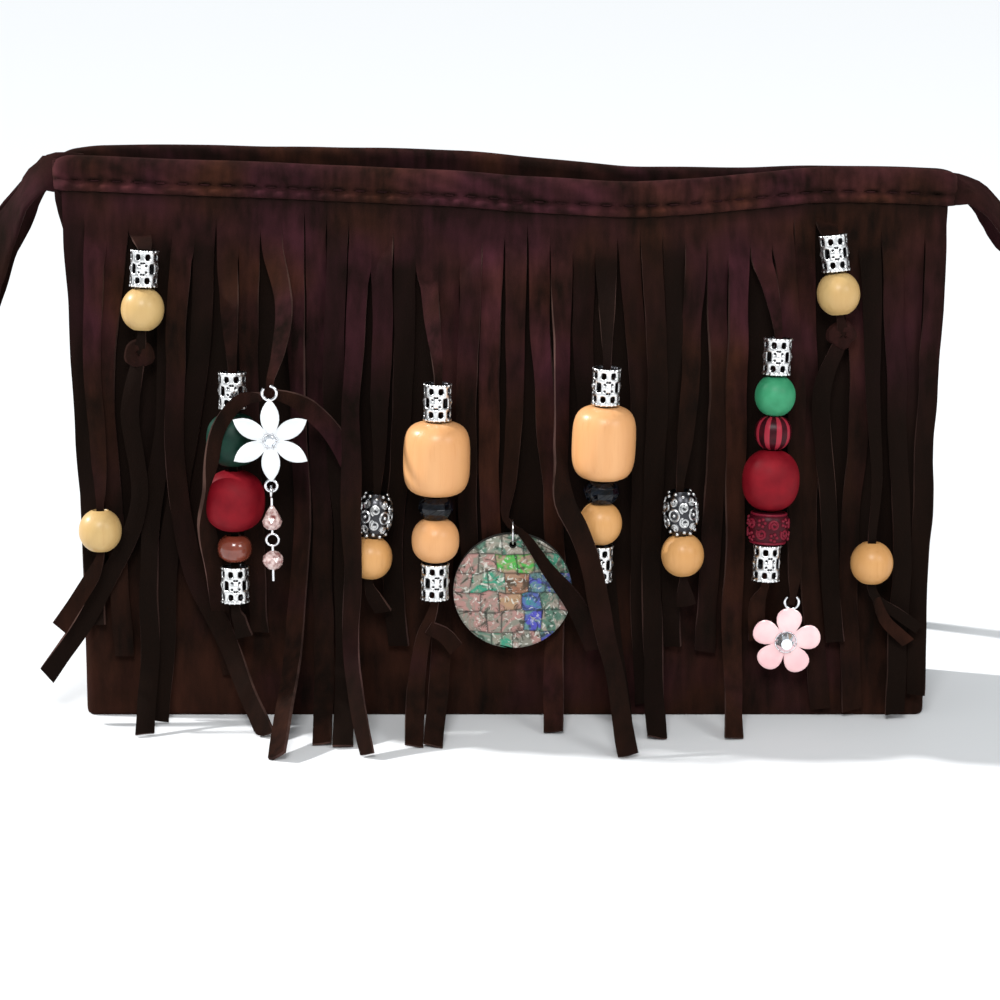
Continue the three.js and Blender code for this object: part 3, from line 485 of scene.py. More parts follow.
def makeFuzzy(name, specular, **tones):  # the same nap without its bump, on raw edges and thread
    look, tree, shader = newLook(name, Roughness=0.95, Specular_IOR_Level=specular)
    nap = useGroup(tree, napGroup, **tones)
    tree.links.new(nap.outputs["Color"], shader.inputs["Base Color"])
    return look


def makeWood(name, light, dark, gloss):
    look, tree, shader = newLook(name, Roughness=gloss, Specular_IOR_Level=0.3,
                                 Coat_Weight=0.1, Coat_Roughness=0.2)
    grain = useGroup(tree, grainGroup, Light=light, Dark=dark)
    tree.links.new(grain.outputs["Color"], shader.inputs["Base Color"])
    addBump(tree, shader, grain.outputs["Height"], 0.2, 0.0002)
    return look


def makeCloudy(name, first, second, scale, low, high, **sockets):
    look, tree, shader = newLook(name, **sockets)  # cloudy colour, roughness between low and high
    film = useGroup(tree, cloudGroup, First=first, Second=second, Scale=scale)
    tree.links.new(film.outputs["Color"], shader.inputs["Base Color"])
    tree.links.new(addRange(tree, film.outputs["Gloss"], 0, 1, low, high), shader.inputs["Roughness"])
    return look


def makeSilver():  # bright where it stands out, with painted shade darkening it in the recesses
    look, tree, shader = newLook("castSilver", Metallic=1.0)
    film = useGroup(tree, cloudGroup, First=(0.94, 0.94, 0.93), Second=(0.84, 0.84, 0.84), Scale=900.0)
    shine = addRange(tree, readValue(tree, "shine"), 0.1, 0.62)
    # the near-black colour is painted shade for the recesses
    colour = addMix(tree, shine, (0.05, 0.05, 0.055), film.outputs["Color"])
    tree.links.new(colour, shader.inputs["Base Color"])
    tree.links.new(addRange(tree, film.outputs["Gloss"], 0, 1, 0.24, 0.38), shader.inputs["Roughness"])
    return look


def makeStriped():
    look, tree, shader = newLook("stripedResin", Roughness=0.35, Specular_IOR_Level=0.16)
    film = useGroup(tree, cloudGroup, First=(0.02, 0.001, 0.003), Second=(0.045, 0.002, 0.006),
                    Scale=400.0)
    stripe = addRange(tree, readValue(tree, "stripe"), 0.52, 0.62)
    colour = addMix(tree, stripe, film.outputs["Color"], (0.29, 0.02, 0.036))
    tree.links.new(colour, shader.inputs["Base Color"])
    return look


def makeCarved():
    look, tree, shader = newLook("carvedResin", Roughness=0.4, Specular_IOR_Level=0.16)
    # painted shade: the sunk ground between the raised relief is darker
    raised = addRange(tree, readValue(tree, "shine"), 0.2, 0.9)
    colour = addMix(tree, raised, (0.045, 0.002, 0.006), (0.15, 0.008, 0.02))
    tree.links.new(colour, shader.inputs["Base Color"])
    return look


def makeShell():  # each tile has its own colours, with cloudy veins
    look, tree, shader = newLook("shellMosaic", Specular_IOR_Level=0.3, Coat_Weight=0.1)
    tint = addNode(tree, "Attribute", attribute_name="tint").outputs["Color"]
    second = addNode(tree, "Attribute", attribute_name="vein").outputs["Color"]
    veins = addRange(tree, addNoise(tree, 120, 2, distortion=2.2), 0.44, 0.58)
    flecks = addRange(tree, addNoise(tree, 230, 2, distortion=2.5), 0.52, 0.66)
    # painted glints: small pale specks in the colour stand in for highlights
    glints = addRange(tree, addNoise(tree, 300, 2, distortion=3.0), 0.58, 0.7)
    colour = addMix(tree, veins, tint, second)
    colour = addMix(tree, addMath(tree, "MULTIPLY", flecks, 0.95), colour, (0.2, 0.24, 0.2), "MULTIPLY")
    colour = addMix(tree, addMath(tree, "MULTIPLY", glints, 0.75), colour, (0.62, 0.63, 0.56))
    tree.links.new(colour, shader.inputs["Base Color"])
    tree.links.new(addRange(tree, veins, 0, 1, 0.12, 0.3), shader.inputs["Roughness"])
    return look


looks = {
    "suede": makeSuede(),
    "cutEdge": makeFuzzy("cutEdge", 0.05, Dark=(0.02, 0.011, 0.009), Warm=(0.13, 0.068, 0.052),
                         Cool=(0.12, 0.062, 0.056), Tone=0.8),
    "thread": makeFuzzy("stitchThread", 0.1, Dark=(0.006, 0.002, 0.002), Warm=(0.03, 0.008, 0.008),
                        Cool=(0.03, 0.008, 0.01), Tone=1.0),
    "silver": makeSilver(),
    "paleWood": makeWood("paleWood", (0.53, 0.355, 0.145), (0.45, 0.27, 0.1), 0.42),
    "honeyWood": makeWood("honeyWood", (0.585, 0.305, 0.11), (0.5, 0.24, 0.075), 0.42),
    "peachWood": makeWood("peachWood", (0.665, 0.345, 0.15), (0.59, 0.28, 0.107), 0.38),
    "green": makeCloudy("greenStain", (0.028, 0.215, 0.098), (0.042, 0.27, 0.13), 260.0, 0.42, 0.6,
                        Specular_IOR_Level=0.25),
    # the green stain with painted shade, for the green bead that hangs in shade
    "shadedGreen": makeCloudy("shadedGreenStain", (0.002, 0.02, 0.013), (0.004, 0.034, 0.021), 260.0,
                            0.4, 0.6, Specular_IOR_Level=0.2),
    "red": makeCloudy("redStain", (0.14, 0.0022, 0.007), (0.2, 0.005, 0.011), 180.0, 0.5, 0.65,
                      Specular_IOR_Level=0.13),
    "striped": makeStriped(),
    "carved": makeCarved(),
    "amber": makeCloudy("brownGlass", (0.14, 0.028, 0.015), (0.205, 0.048, 0.028), 300.0, 0.08, 0.16,
                        Coat_Weight=0.4),
    "black": makeCloudy("blackGlass", (0.001, 0.001, 0.0015), (0.002, 0.004, 0.008), 500.0, 0.03, 0.08,
                        Specular_IOR_Level=0.34),
    "whiteEnamel": makeCloudy("whiteEnamel", (0.75, 0.76, 0.77), (0.66, 0.69, 0.71), 160.0, 0.12, 0.24,
                              Coat_Weight=0.4),
    "pinkEnamel": makeCloudy("pinkEnamel", (0.93, 0.62, 0.62), (0.88, 0.52, 0.54), 160.0, 0.14, 0.26,
                             Coat_Weight=0.4),
    "plate": makeCloudy("platedMetal", (0.82, 0.82, 0.84), (0.68, 0.68, 0.7), 700.0, 0.14, 0.26,
                        Metallic=1.0),
    "stone": makeCloudy("foiledStone", (0.95, 0.97, 1.0), (0.85, 0.9, 0.95), 500.0, 0.02, 0.05,
                        Metallic=0.85),
    # painted highlights: pale and dark red patches in the colour stand in for the facets' reflections
    "crystal": makeCloudy("roseCrystal", (0.85, 0.66, 0.62), (0.2, 0.035, 0.03), 620.0, 0.03, 0.08,
                          Transmission_Weight=0.2, Coat_Weight=0.8),
    "shell": makeShell(),
    "joint": makeCloudy("darkJoint", (0.015, 0.018, 0.016), (0.04, 0.035, 0.03), 300.0, 0.7, 0.9),
}
print("materials are made")


# the strap: a flat limp cord from corner to corner

strapSettings = {"wide": 12.4, "thick": 1.7, "spacing": 2.6, "floorLine": 7.1}
onFloor = strapSettings["floorLine"]
strapRoute = [  # x, y, z and, beside the corners, how far it is turned on its edge in degrees
    (-132, 0, 170.4), (-139.5, 0, 170.9, 15), (-145.5, 0, 169.3, 50), (-150, 0.3, 164.4, 52),
    (-153.8, 1.5, 158.5, 42), (-158.6, 3, 150.3, 24), (-164.5, 5.5, 137), (-169.5, 10, 124.5, -33),
    (-171, 18, 121, -39), (-168.5, 25, 130, -27), (-163.3, 28.3, 144.8, 24), (-158.2, 25.9, 153.4, 42),
    (-154.5, 25.2, 159.3, 52), (-149.8, 25.2, 165, 55), (-144.7, 25.2, 167.6, 15), (-134, 26, 159),
    (-112, 28, 118), (-92, 32, 70), (-70, 37, 28), (-44, 41, 10.5), (-10, 43, onFloor),
    (50, 45, onFloor), (100, 47, onFloor), (120, 56, onFloor), (118, 68, onFloor), (96, 74, onFloor),
    (40, 74, onFloor), (-60, 72, onFloor), (-102, 74, onFloor), (-120, 82, onFloor), (-112, 94, onFloor),
    (-90, 97, onFloor), (-20, 97, onFloor), (50, 97, onFloor), (90, 93, onFloor), (107, 84, 14),
    (117, 72, 40), (122, 56, 80), (123, 40, 118), (127, 28.5, 149, 15), (136.5, 25.8, 160.4, 42),
    (144.2, 25.2, 161.6, 54),
    (150.4, 25.2, 160.4, 58), (155, 25.2, 156.7, 58), (159.7, 25.7, 151.8, 42), (165.8, 26.6, 144.2, 10),
    (170, 20, 136, -35), (170.5, 11, 133.5, -36), (167, 5, 140.3, 8), (161, 2, 150, 48),
    (155.1, 0.7, 157.2, 55), (150.5, 0, 162, 58), (146, 0, 164.8, 58), (140, 0, 165.6, 46),
    (132, 0, 165.2, 20),
]
strapSection = [  # across and out, as shares of half the width and thickness: folded and stitched edges
    (-1, -0.5), (-0.9, -1), (-0.72, -0.75), (-0.55, -1), (0, -1.05), (0.55, -1), (0.72, -0.75),
    (0.9, -1), (1, -0.5), (1, 0.5), (0.9, 1), (0.72, 0.75), (0.55, 1), (0, 1.05), (-0.55, 1),
    (-0.72, 0.75), (-0.9, 1), (-1, 0.5),
]


def makeStrap(settings):
    points = [Vector(row[:3]) for row in strapRoute]
    turns = [row[3] if len(row) > 3 else 0 for row in strapRoute] + [0]
    places, length = evenSteps(points, settings["spacing"])
    frames = []
    for at in places:
        point, tangent = curveAt(points, at)
        tall = (Vector((0, 0, 1)) - tangent * tangent.z).normalized()
        row = int(at)
        turn = lerp(turns[row], turns[row + 1], smoothStep(at, row, row + 1))
        tall = Quaternion(tangent, math.radians(turn)) @ tall
        frames.append((point, tall, tangent.cross(tall)))
    around = len(strapSection)

    def place(u, v):
        point, tall, face = frames[round(v * (len(frames) - 1))]
        across, out = strapSection[round(u * around) % around]
        spot = point + tall * (across * settings["wide"] / 2) + face * (out * settings["thick"] / 2)
        return spot * mm

    strap = gridSheet("strap_suede", around, len(frames) - 1, place)
    closeUp(strap)
    smoothShade(strap, 50)
    addValues(strap, "tone", lambda spot: 0.25 * wobble(3, spot.x * 40 + spot.z * 30) - 0.12)
    dress(strap, "suede", looks["suede"])
    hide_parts("strap")
    return length


strapLength = makeStrap(strapSettings)
print(f"strap laid, {strapLength:.0f} mm")


# the pouch's form, the same as in the solids

pouchSizes = {
    "baseWidth": 268, "baseDepth": 50, "sideFlare": 3.8, "cornerFlare": 2.2, "seamHalfDepth": 2.6,
    "wall": 1.6, "belly": 2.5, "baseCorner": 3, "mouthCorner": 1.6, "hemRise": 2,
}
mouthRows = [  # x, front bow, back bow, front top, back top
    (-141, 0, 0, 176.8, 177), (-126, 1, 3, 176.4, 178.6), (-64, 5.5, 8, 174.7, 177.4),
    (-15, 11, 7.5, 173.3, 176.2), (8, 14, 4.5, 171.9, 174.5), (36, 16, 0.5, 170.9, 172.4),
    (50, 14.5, 0, 170.9, 172.2), (76, 6.5, 0.3, 171.8, 172), (98, 1, 0.8, 172.9, 172.4),
    (123, 0, 0.4, 172.6, 172.2), (141, 0, 0, 171.6, 171.6),
]
bowColumn = {"front": 1, "back": 2}
topColumn = {"front": 3, "back": 4}


def along(rows, column, x):  # smooth reading of one column of a table at x
    last = len(rows) - 1
    i = 0
    while i < last - 1 and x > rows[i + 1][0]:
        i += 1

    def slope(k):
        before, after = rows[max(k - 1, 0)], rows[min(k + 1, last)]
        return (after[column] - before[column]) / (after[0] - before[0])

    span = rows[i + 1][0] - rows[i][0]
    u = clamp((x - rows[i][0]) / span)
    ease = u * u * (3 - 2 * u)
    leave = slope(i) * span * u * (1 - u) * (1 - u)
    arrive = slope(i + 1) * span * u * u * (u - 1)
    return lerp(rows[i][column], rows[i + 1][column], ease) + leave + arrive


def wallTop(side, x):
    return along(mouthRows, topColumn[side], x) - pouchSizes["hemRise"]


def halfWidth(up):
    flare = pouchSizes["sideFlare"] * up ** 1.5 + pouchSizes["cornerFlare"] * smoothStep(up, 0.84, 0.94)
    return pouchSizes["baseWidth"] / 2 + flare


def outward(side, x, z):  # how far the outer face stands from the middle plane
    up = clamp(z / wallTop(side, x))
    across = min(abs(x) / halfWidth(up), 1)
    mouth = pouchSizes["seamHalfDepth"] + along(mouthRows, bowColumn[side], x)
    bulge = pouchSizes["belly"] * math.sin(math.pi * up) * (1 - across * across)
    return lerp(pouchSizes["baseDepth"] / 2, mouth, up) + bulge


def ahead(x, z, out):
    return Vector((x, -outward("front", x, max(z, 0)) - out, z))


# the pouch: one sewn shell

pouchSettings = {
    "frontColumns": 72, "cornerColumns": 6, "sideColumns": 14, "wallRows": 42,
    "left": 1.2, "right": -2, "flareFrom": 0.82, "flareTo": 0.95,  # how each side leans near the mouth
    "sideSag": 2.4, "seamRidge": 0.55, "wrinkle": 0.8, "backWrinkle": 1.3, "pullIn": 0.6,
    "footTone": 0.02, "shadeTone": -0.42, "floorEdge": 0.05,
}
baseRows = [  # share of the height, inset
    (0, 1.3), (0.0015, 0.75), (0.004, 0.3), (0.008, 0.08), (0.014, 0),
]


def makePouch(settings):
    rows = list(baseRows)
    first = baseRows[-1][0]
    rows += [(lerp(first, 1, k / settings["wallRows"]), 0) for k in range(1, settings["wallRows"] + 1)]
    parts = [("front", "frontColumns"), ("frontRight", "cornerColumns"), ("right", "sideColumns"),
             ("backRight", "cornerColumns"), ("back", "frontColumns"), ("backLeft", "cornerColumns"),
             ("left", "sideColumns"), ("frontLeft", "cornerColumns")]
    stations = [(part, k / settings[count]) for part, count in parts for k in range(settings[count])]

    def creases(side, x, z):
        sag = noise.noise(Vector((x / 46, z / 60, 3.1 if side == "front" else 8.4)))
        fine = noise.noise(Vector((x / 17, z / 34, 5.2)))
        depth = settings["wrinkle"] if side == "front" else settings["backWrinkle"]
        fade = smoothStep(z, 4, 30) * (1 - smoothStep(z, 140, 166))
        swell = depth * fade * (0.75 * sag + 0.25 * fine)
        return swell - depth * fade * settings["pullIn"] if side == "front" else swell

    def edge(side, x, up, inset, cut):
        z = up * wallTop(side, x)
        depth = outward(side, x, z) - inset - cut + creases(side, x, z)
        return Vector((x, -depth if side == "front" else depth, z))

    def lean(side, up):
        return settings[side] * smoothStep(up, settings["flareFrom"], settings["flareTo"])

    def spot(part, t, up, inset):
        half = halfWidth(up) - inset + lean("left" if part.lower().endswith("left") else "right", up)
        corner = max(lerp(pouchSizes["baseCorner"], pouchSizes["mouthCorner"], up) - inset, 0.5)
        inner = half - corner
        other = inner + lean("left", up) - lean("right", up)
        if part == "front":
            return edge("front", lerp(-other, inner, t), up, inset, 0)
        if part == "back":
            return edge("back", lerp(inner, -other, t), up, inset, 0)
        toRight = 1 if part in ("frontRight", "right", "backRight") else -1
        if part in ("right", "left"):
            front = edge("front", toRight * half, up, inset, corner)
            back = edge("back", toRight * half, up, inset, corner)
            share = t if part == "right" else 1 - t
            point = front.lerp(back, share)
            hang = math.sin(math.pi * clamp(up * 1.02)) ** 0.7
            sag = settings["sideSag"] * math.sin(math.pi * share) * hang
            seam = math.exp(-((share - 0.5) * 12) ** 2) * smoothStep(up, 0.02, 0.1)
            point.x += toRight * (settings["seamRidge"] * seam - sag)
            return point
        angle = (t if part in ("frontRight", "backLeft") else 1 - t) * math.pi / 2
        side = "front" if part.startswith("front") else "back"
        x = toRight * (inner + corner * math.sin(angle))
        return edge(side, x, up, inset, corner * (1 - math.cos(angle)))

    def place(u, v):
        part, t = stations[round(u * len(stations)) % len(stations)]
        up, inset = rows[round(v * (len(rows) - 1))]
        return spot(part, t, up, inset) * mm

    pouch = gridSheet("pouch_shell", len(stations), len(rows) - 1, place)
    editAll(pouch)
    bpy.ops.mesh.remove_doubles(threshold=1e-7)
    bpy.ops.mesh.select_mode(type="EDGE")
    bpy.ops.mesh.select_all(action="DESELECT")
    bpy.ops.object.mode_set(mode="OBJECT")
    verts = pouch.data.vertices
    for rim in pouch.data.edges:
        rim.select = all(verts[i].co.z < settings["floorEdge"] * mm for i in rim.vertices)
    bpy.ops.object.mode_set(mode="EDIT")
    bpy.ops.mesh.edge_face_add()
    bpy.ops.mesh.select_all(action="SELECT")
    bpy.ops.mesh.normals_make_consistent(inside=False)
    bpy.ops.object.mode_set(mode="OBJECT")
    useModifier(pouch, "SOLIDIFY", thickness=pouchSizes["wall"] * mm, offset=-1)
    smoothShade(pouch, 50)

    def shade(spot):  # the front is dark in the shade of the fringe
        shaded = lerp(settings["footTone"], settings["shadeTone"], smoothStep(spot.z, 0.02, 0.07))
        return shaded * smoothStep(-spot.y, 0, 0.008)

    addValues(pouch, "tone", shade)
    dress(pouch, "suede", looks["suede"])
    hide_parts("pouch")


makePouch(pouchSettings)
print("pouch sewn")


# the two hems: folded bands over the rim, with a row of stitches

hemSettings = {
    "columns": 560, "pitch": 6.9, "stitchLine": -5.5, "pull": 0.75, "pucker": 0.9, "ripple": 0.35,
    "drift": 0.9, "end": 1.4, "round": 4.5, "cornerReach": 7, "leftDrop": 4.6, "rightDrop": 2.4,
    "frontTone": 0.34, "paintedRightLight": 0.16, "backTone": -0.04, "crestLine": -6.7, "dentLine": -5.3,
}
hemProfile = [  # out from the wall's face, rise from its rim, share of pucker
    (0.3, -8.2, 0), (1.7, -8.8, 0.2), (2.6, -8.5, 0.5), (2.95, -7.7, 0.8), (2.6, -6.7, 1),
    (1.8, -6, 0.7), (1.3, -5.5, 0), (1.5, -4.9, -0.3), (2.1, -4, -0.4), (2.55, -2.7, 0),
    (2.6, -1.2, 0), (2.3, 0.3, 0),
    (1.5, 1.5, 0), (0.3, 2.05, 0), (-1.1, 1.8, 0), (-2.1, 0.8, 0), (-2.5, -1, 0), (-2.55, -4, 0),
    (-2.4, -6, 0), (-1.9, -5.8, 0), (-1.85, -2, 0), (-1.85, 0.25, 0), (0.3, 0.3, 0), (0.3, -4, 0),
]


def hemPoint(side, x, out, rise):
    top = wallTop(side, x)
    depth = outward(side, x, top + rise) + out
    return Vector((x, -depth if side == "front" else depth, top + rise))


def makeHem(side, settings):
    half = halfWidth(1) + settings["end"]
    seed = 1 if side == "front" else 2

    def uneven(x):  # some puckers are deep and some nearly flat
        return clamp(0.85 + 1.1 * wobble(seed + 13, x / 6.1), 0.25, 1.5)

    def swell(x):  # one crest between each pair of stitches
        drift = settings["drift"] * wobble(seed + 7, x / 9)
        return math.cos(2 * math.pi * x / settings["pitch"] + drift)

    def place(u, v):
        x = lerp(-half, half, u)
        out, rise, share = hemProfile[round(v * len(hemProfile)) % len(hemProfile)]
        wave = swell(x) * uneven(x)
        out += settings["pucker"] * share * wave * 0.5
        if abs(rise - settings["stitchLine"]) < 0.4 and out > 1:
            out -= settings["pull"] * (0.5 - 0.5 * wave)
        rise += settings["ripple"] * wobble(seed, x / 19) * (1 if rise > -7 else 0.6)
        out += 0.25 * wobble(seed + 5, x / 11 + rise / 6) if out > 1 else 0
        spot = hemPoint(side, x, out, rise)
        past = clamp((abs(x) - half) / settings["round"] + 1)
        spot.y *= max(math.sqrt(1 - past * past), 0.2)  # the ends close round the strap
        past = clamp((abs(x) - half) / settings["cornerReach"] + 1)
        fall = settings["leftDrop"] if x < 0 else settings["rightDrop"]
        spot.z -= fall * (1 - math.sqrt(1 - past * past)) * smoothStep(rise, -6, 1)
        return spot * mm

    hem = gridSheet(f"{side}_hem_band", settings["columns"], len(hemProfile), place)
    closeUp(hem)
    smoothShade(hem, 60)

    def wearAndPaintedShading(spot):  # painted highlight on the crests under the stitches and painted shade in their dents, painted light towards the right of the front, and random rubbed wear
        x, rise = spot.x / mm, spot.z / mm - wallTop(side, spot.x / mm)
        wave = 0.5 + 0.5 * swell(x)
        # painted highlight along the crests and painted shade in the dents
        crest = math.exp(-((rise - settings["crestLine"]) / 0.7) ** 2) * (0.2 + wave) * uneven(x)
        dent = math.exp(-((rise - settings["dentLine"]) / 0.5) ** 2) * (1.1 - wave) * uneven(x)
        rubbed = 0.5 * wobble(seed + 21, x / 8 + rise / 3)
        base = settings["backTone"]
        if side == "front":
            # painted light: the front hem is lighter towards its right end
            base = settings["frontTone"] + settings["paintedRightLight"] * smoothStep(x, 20, 120)
        return base + 0.3 * wobble(seed, x / 70) + rubbed + 0.5 * crest - 0.75 * dent

    addValues(hem, "tone", wearAndPaintedShading)
    dress(hem, "suede", looks["suede"])
    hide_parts(f"{side}_hem")


stitchSettings = {"length": 3.0, "thick": 0.62, "out": 1.2}


def makeStitches(settings):
    clearSelection()
    bpy.ops.mesh.primitive_cube_add(size=1)
    model = bpy.context.object
    editAll(model)
    thick = settings["thick"] * mm
    bpy.ops.transform.resize(value=(settings["length"] * mm, thick, thick))
    bpy.ops.mesh.subdivide(number_cuts=1)
    bpy.ops.object.mode_set(mode="OBJECT")
    subdivided(model)
    pitch = hemSettings["pitch"]
    count = int((halfWidth(1) - 3) / pitch)
    for side in ("front", "back"):
        stitches = []
        for k in range(-count, count):
            x = (k + 0.5) * pitch
            before = hemPoint(side, x - 1, settings["out"], hemSettings["stitchLine"])
            after = hemPoint(side, x + 1, settings["out"], hemSettings["stitchLine"])
            run = (after - before).normalized()
            turn = Vector((1, 0, 0)).rotation_difference(run).to_matrix().to_4x4()
            matrix = Matrix.Translation((before + after) * 0.5 * mm) @ turn
            stitches.append(placedCopy(model, "stitch", matrix))
        row = joined(stitches, f"{side}_hem_stitches")
        smoothShade(row, 60)
        dress(row, "suede", looks["thread"])
    drop(model)


makeHem("front", hemSettings)
makeHem("back", hemSettings)
makeStitches(stitchSettings)
print("hems folded and stitched")


# the fringe: strips hanging from an uncut head, some strung with beads

fringeSettings = {
    "hemDrop": 8.4, "gap": 0.3, "tuck": 0.8, "headHeight": 5, "headGap": 0.8, "pitch": 6.9, "count": 40,
    "wide": 6.5, "thick": 1.1, "strungWide": 2.6, "knotWide": 4.4, "spacing": 2.4, "across": 4,
    "headOut": 1.1, "opening": 7, "highOpening": 4, "highWide": 5.2, "shortSlit": 2, "longSlit": 18,
    "curl": 1.0, "sway": 0.9, "twist": 34, "narrowing": 0.16, "ragged": 0.07, "layerDrop": 11,
    "upper": 105, "lower": 55, "floorLift": 0.6, "headTone": 0.1, "underHem": 0.5, "lowShade": 0.32,
}
setSlits = {  # by number: cuts whose height shows clearly
    0: 0, 3: 12, 4: 12, 12: 4, 13: 5, 16: 19, 17: 22, 18: 17, 22: 8, 25: 6, 28: 7, 34: 6.5, 35: 6.5,
    40: 0,
}
highStrings = (3, 34)  # strips that turn out into a tube close under the head
plainStrips = [  # index, x at the upper and lower height, tip x and z, reach ahead, out, low, turn
    (0, -133.2, -130.6, -129.5, 30, 0, 1.4, 1.4, 6), (2, -125.4, -122.8, -121, 20, 0, 1.4, 1.4, -6),
    (4, -106, -112, -112.7, 0.9, 44.6, 1.4, 3.2, 2), (5, -103.5, -99.5, -75, 0.9, 46, 3, 4.6, 20),
    (6, -97, -106.5, -109.5, 0.9, 33, 1.4, 1.4, -5), (8, -80, -79, -78, 28, 0, 1.4, 1.4, 5),
    (10, -65, -64, -69.5, 1.6, 66.5, 1.4, 2.4, 40), (11, -58.6, -57.6, -57, 0.9, 53.5, 1.4, 1.4, 4),
    (12, -53.4, -51.2, -50.2, 0.9, 55.4, 3, 3, -8), (15, -31.5, -35.5, -33.5, 24, 0, 1.4, 1.6, 12),
    (17, -17, -19, -21.8, 0.9, 55.4, 1.4, 1.4, -4), (18, -12, -11, -10, 34, 0, 3, 3, -14),
    (19, -5, -4.2, -3.6, 33, 0, 1.4, 1.6, 10), (21, 12, 16, 15, 0.9, 42.7, 1.4, 1.4, 6),
    (23, 25, 31, 37, 0.9, 31, 1.4, 1.4, -6), (25, 42, 42.5, 44.5, 5, 0, 1.4, 1.4, 5),
    (26, 47.2, 45.7, 47.7, 0.9, 48.2, 3, 3, -5), (27, 52.6, 51.5, 52.5, 24, 0, 1.4, 1.4, 8),
    (29, 66.4, 65.3, 63.5, 22, 0, 1.4, 1.4, -8), (30, 72, 72.5, 71.4, 0.9, 48.2, 3, 3, 6),
    (33, 95.5, 96, 101, 3, 0, 1.4, 1.4, 12), (35, 111.2, 108.8, 110.4, 2.5, 0, 1.4, 1.4, -6),
    (37, 122.6, 125, 123.8, 2.5, 0, 3, 4.6, 5), (38, 127.4, 127, 127.6, 26, 0, 1.4, 1.4, -5),
    (39, 133, 131, 130.4, 8, 0, 3, 3, 6),
]
strings = [  # before, after and knot hold rows of x, z, out, wide
    {"name": "upper_left", "index": 3, "out": 9.3, "top": (-111.2, 149.3), "foot": (-112.6, 124),
     "beads": ["silver_tube", "wood_bead"], "knot": (-114, 117, 6.5), "before": [(-111.2, 153, 5, 6)],
     "after": [(-117, 98, 4.6, 6), (-115, 70, 5, 6.2), (-127.5, 42, 4, 6.2), (-145.5, 15.4, 7, 6.2)]},
    {"name": "left_edge", "index": 1, "out": 10.5, "top": (-126.6, 68.8), "foot": (-126.8, 55.4),
     "beads": ["wood_bead"], "before": [(-129, 112, 3.2, 6.2), (-127, 82, 7, 5.4)],
     "after": [(-129.5, 48, 10, 5), (-140.2, 32, 12, 6.2)]},
    {"name": "left", "index": 7, "out": 14, "top": (-84.1, 113.3), "foot": (-84.2, 40.8),
     "beads": ["silver_tube", "dark_green_bead", "red_bead", "amber_bead", "silver_tube"], "space": 1.4,
     "before": [(-85.5, 132, 5, 6)], "after": [(-83.5, 36, 12, 5), (-82, 29, 10, 6)]},
    {"name": "left_centre", "index": 14, "out": 10.5, "top": (-39.8, 75.4), "foot": (-42.6, 47.6),
     "beads": ["silver_oval", "wood_bead"], "before": [(-38.5, 112, 2.8, 6.2), (-39, 90, 6, 5.4)],
     "after": [(-41.5, 42, 8, 5), (-38.5, 36, 5, 5.6)]},
    {"name": "centre_left", "index": 16, "out": 15, "top": (-20.6, 111), "foot": (-22, 41.2),
     "beads": ["silver_tube", "wood_barrel", "black_spacer", "wide_wood_bead", "silver_tube"],
     "before": [(-22.5, 130, 6, 6)],
     "after": [(-25.5, 30, 14, 5), (-28.3, 14, 18, 6.4), (-28.3, 0.9, 30.4, 6.4)]},
    {"name": "centre_right", "index": 24, "out": 15, "top": (31, 116.6), "foot": (28.7, 48.6),
     "beads": ["silver_tube", "wood_barrel", "black_spacer", "wood_bead", "silver_tube"],
     "before": [(31.2, 134, 6, 6)], "after": [(28.5, 40, 11, 5), (29.5, 27, 6, 6)]},
    {"name": "right_centre", "index": 28, "out": 10.5, "top": (54.2, 76.8), "foot": (55.6, 49),
     "beads": ["silver_oval", "wood_bead"], "before": [(58, 120, 2.6, 6.2), (56, 92, 6, 5.4)],
     "after": [(56, 44, 9.4, 5), (57, 39, 7, 5.8)]},
    {"name": "right", "index": 31, "out": 13.5, "top": (84, 123.6), "foot": (81.2, 48.2),
     "beads": ["silver_tube", "green_bead", "striped_bead", "red_bead", "carved_bead", "silver_tube"],
     "before": [(81.5, 140, 5.5, 6)], "after": [(79.5, 40, 9, 5), (79.5, 26, 4, 6)]},
    {"name": "upper_right", "index": 34, "out": 9.3, "top": (101.2, 153.7), "foot": (104, 128.5),
     "beads": ["silver_tube", "wood_bead"], "knot": (105, 122.5, 6.5), "before": [(101.2, 157.3, 5, 6)],
     "after": [(99, 104, 4.8, 5.6), (101.5, 72, 3.4, 6), (104.5, 25, 3.4, 6.2)]},
    {"name": "right_edge", "index": 36, "out": 10.5, "top": (114.9, 58.6), "foot": (115, 45),
     "beads": ["wood_bead"], "before": [(115, 110, 3.4, 5.4), (116.6, 76, 7, 3.4)],
     "after": [(117, 40.5, 10, 3), (123, 36, 9, 3.6), (130.5, 30.5, 8, 4)]},
]
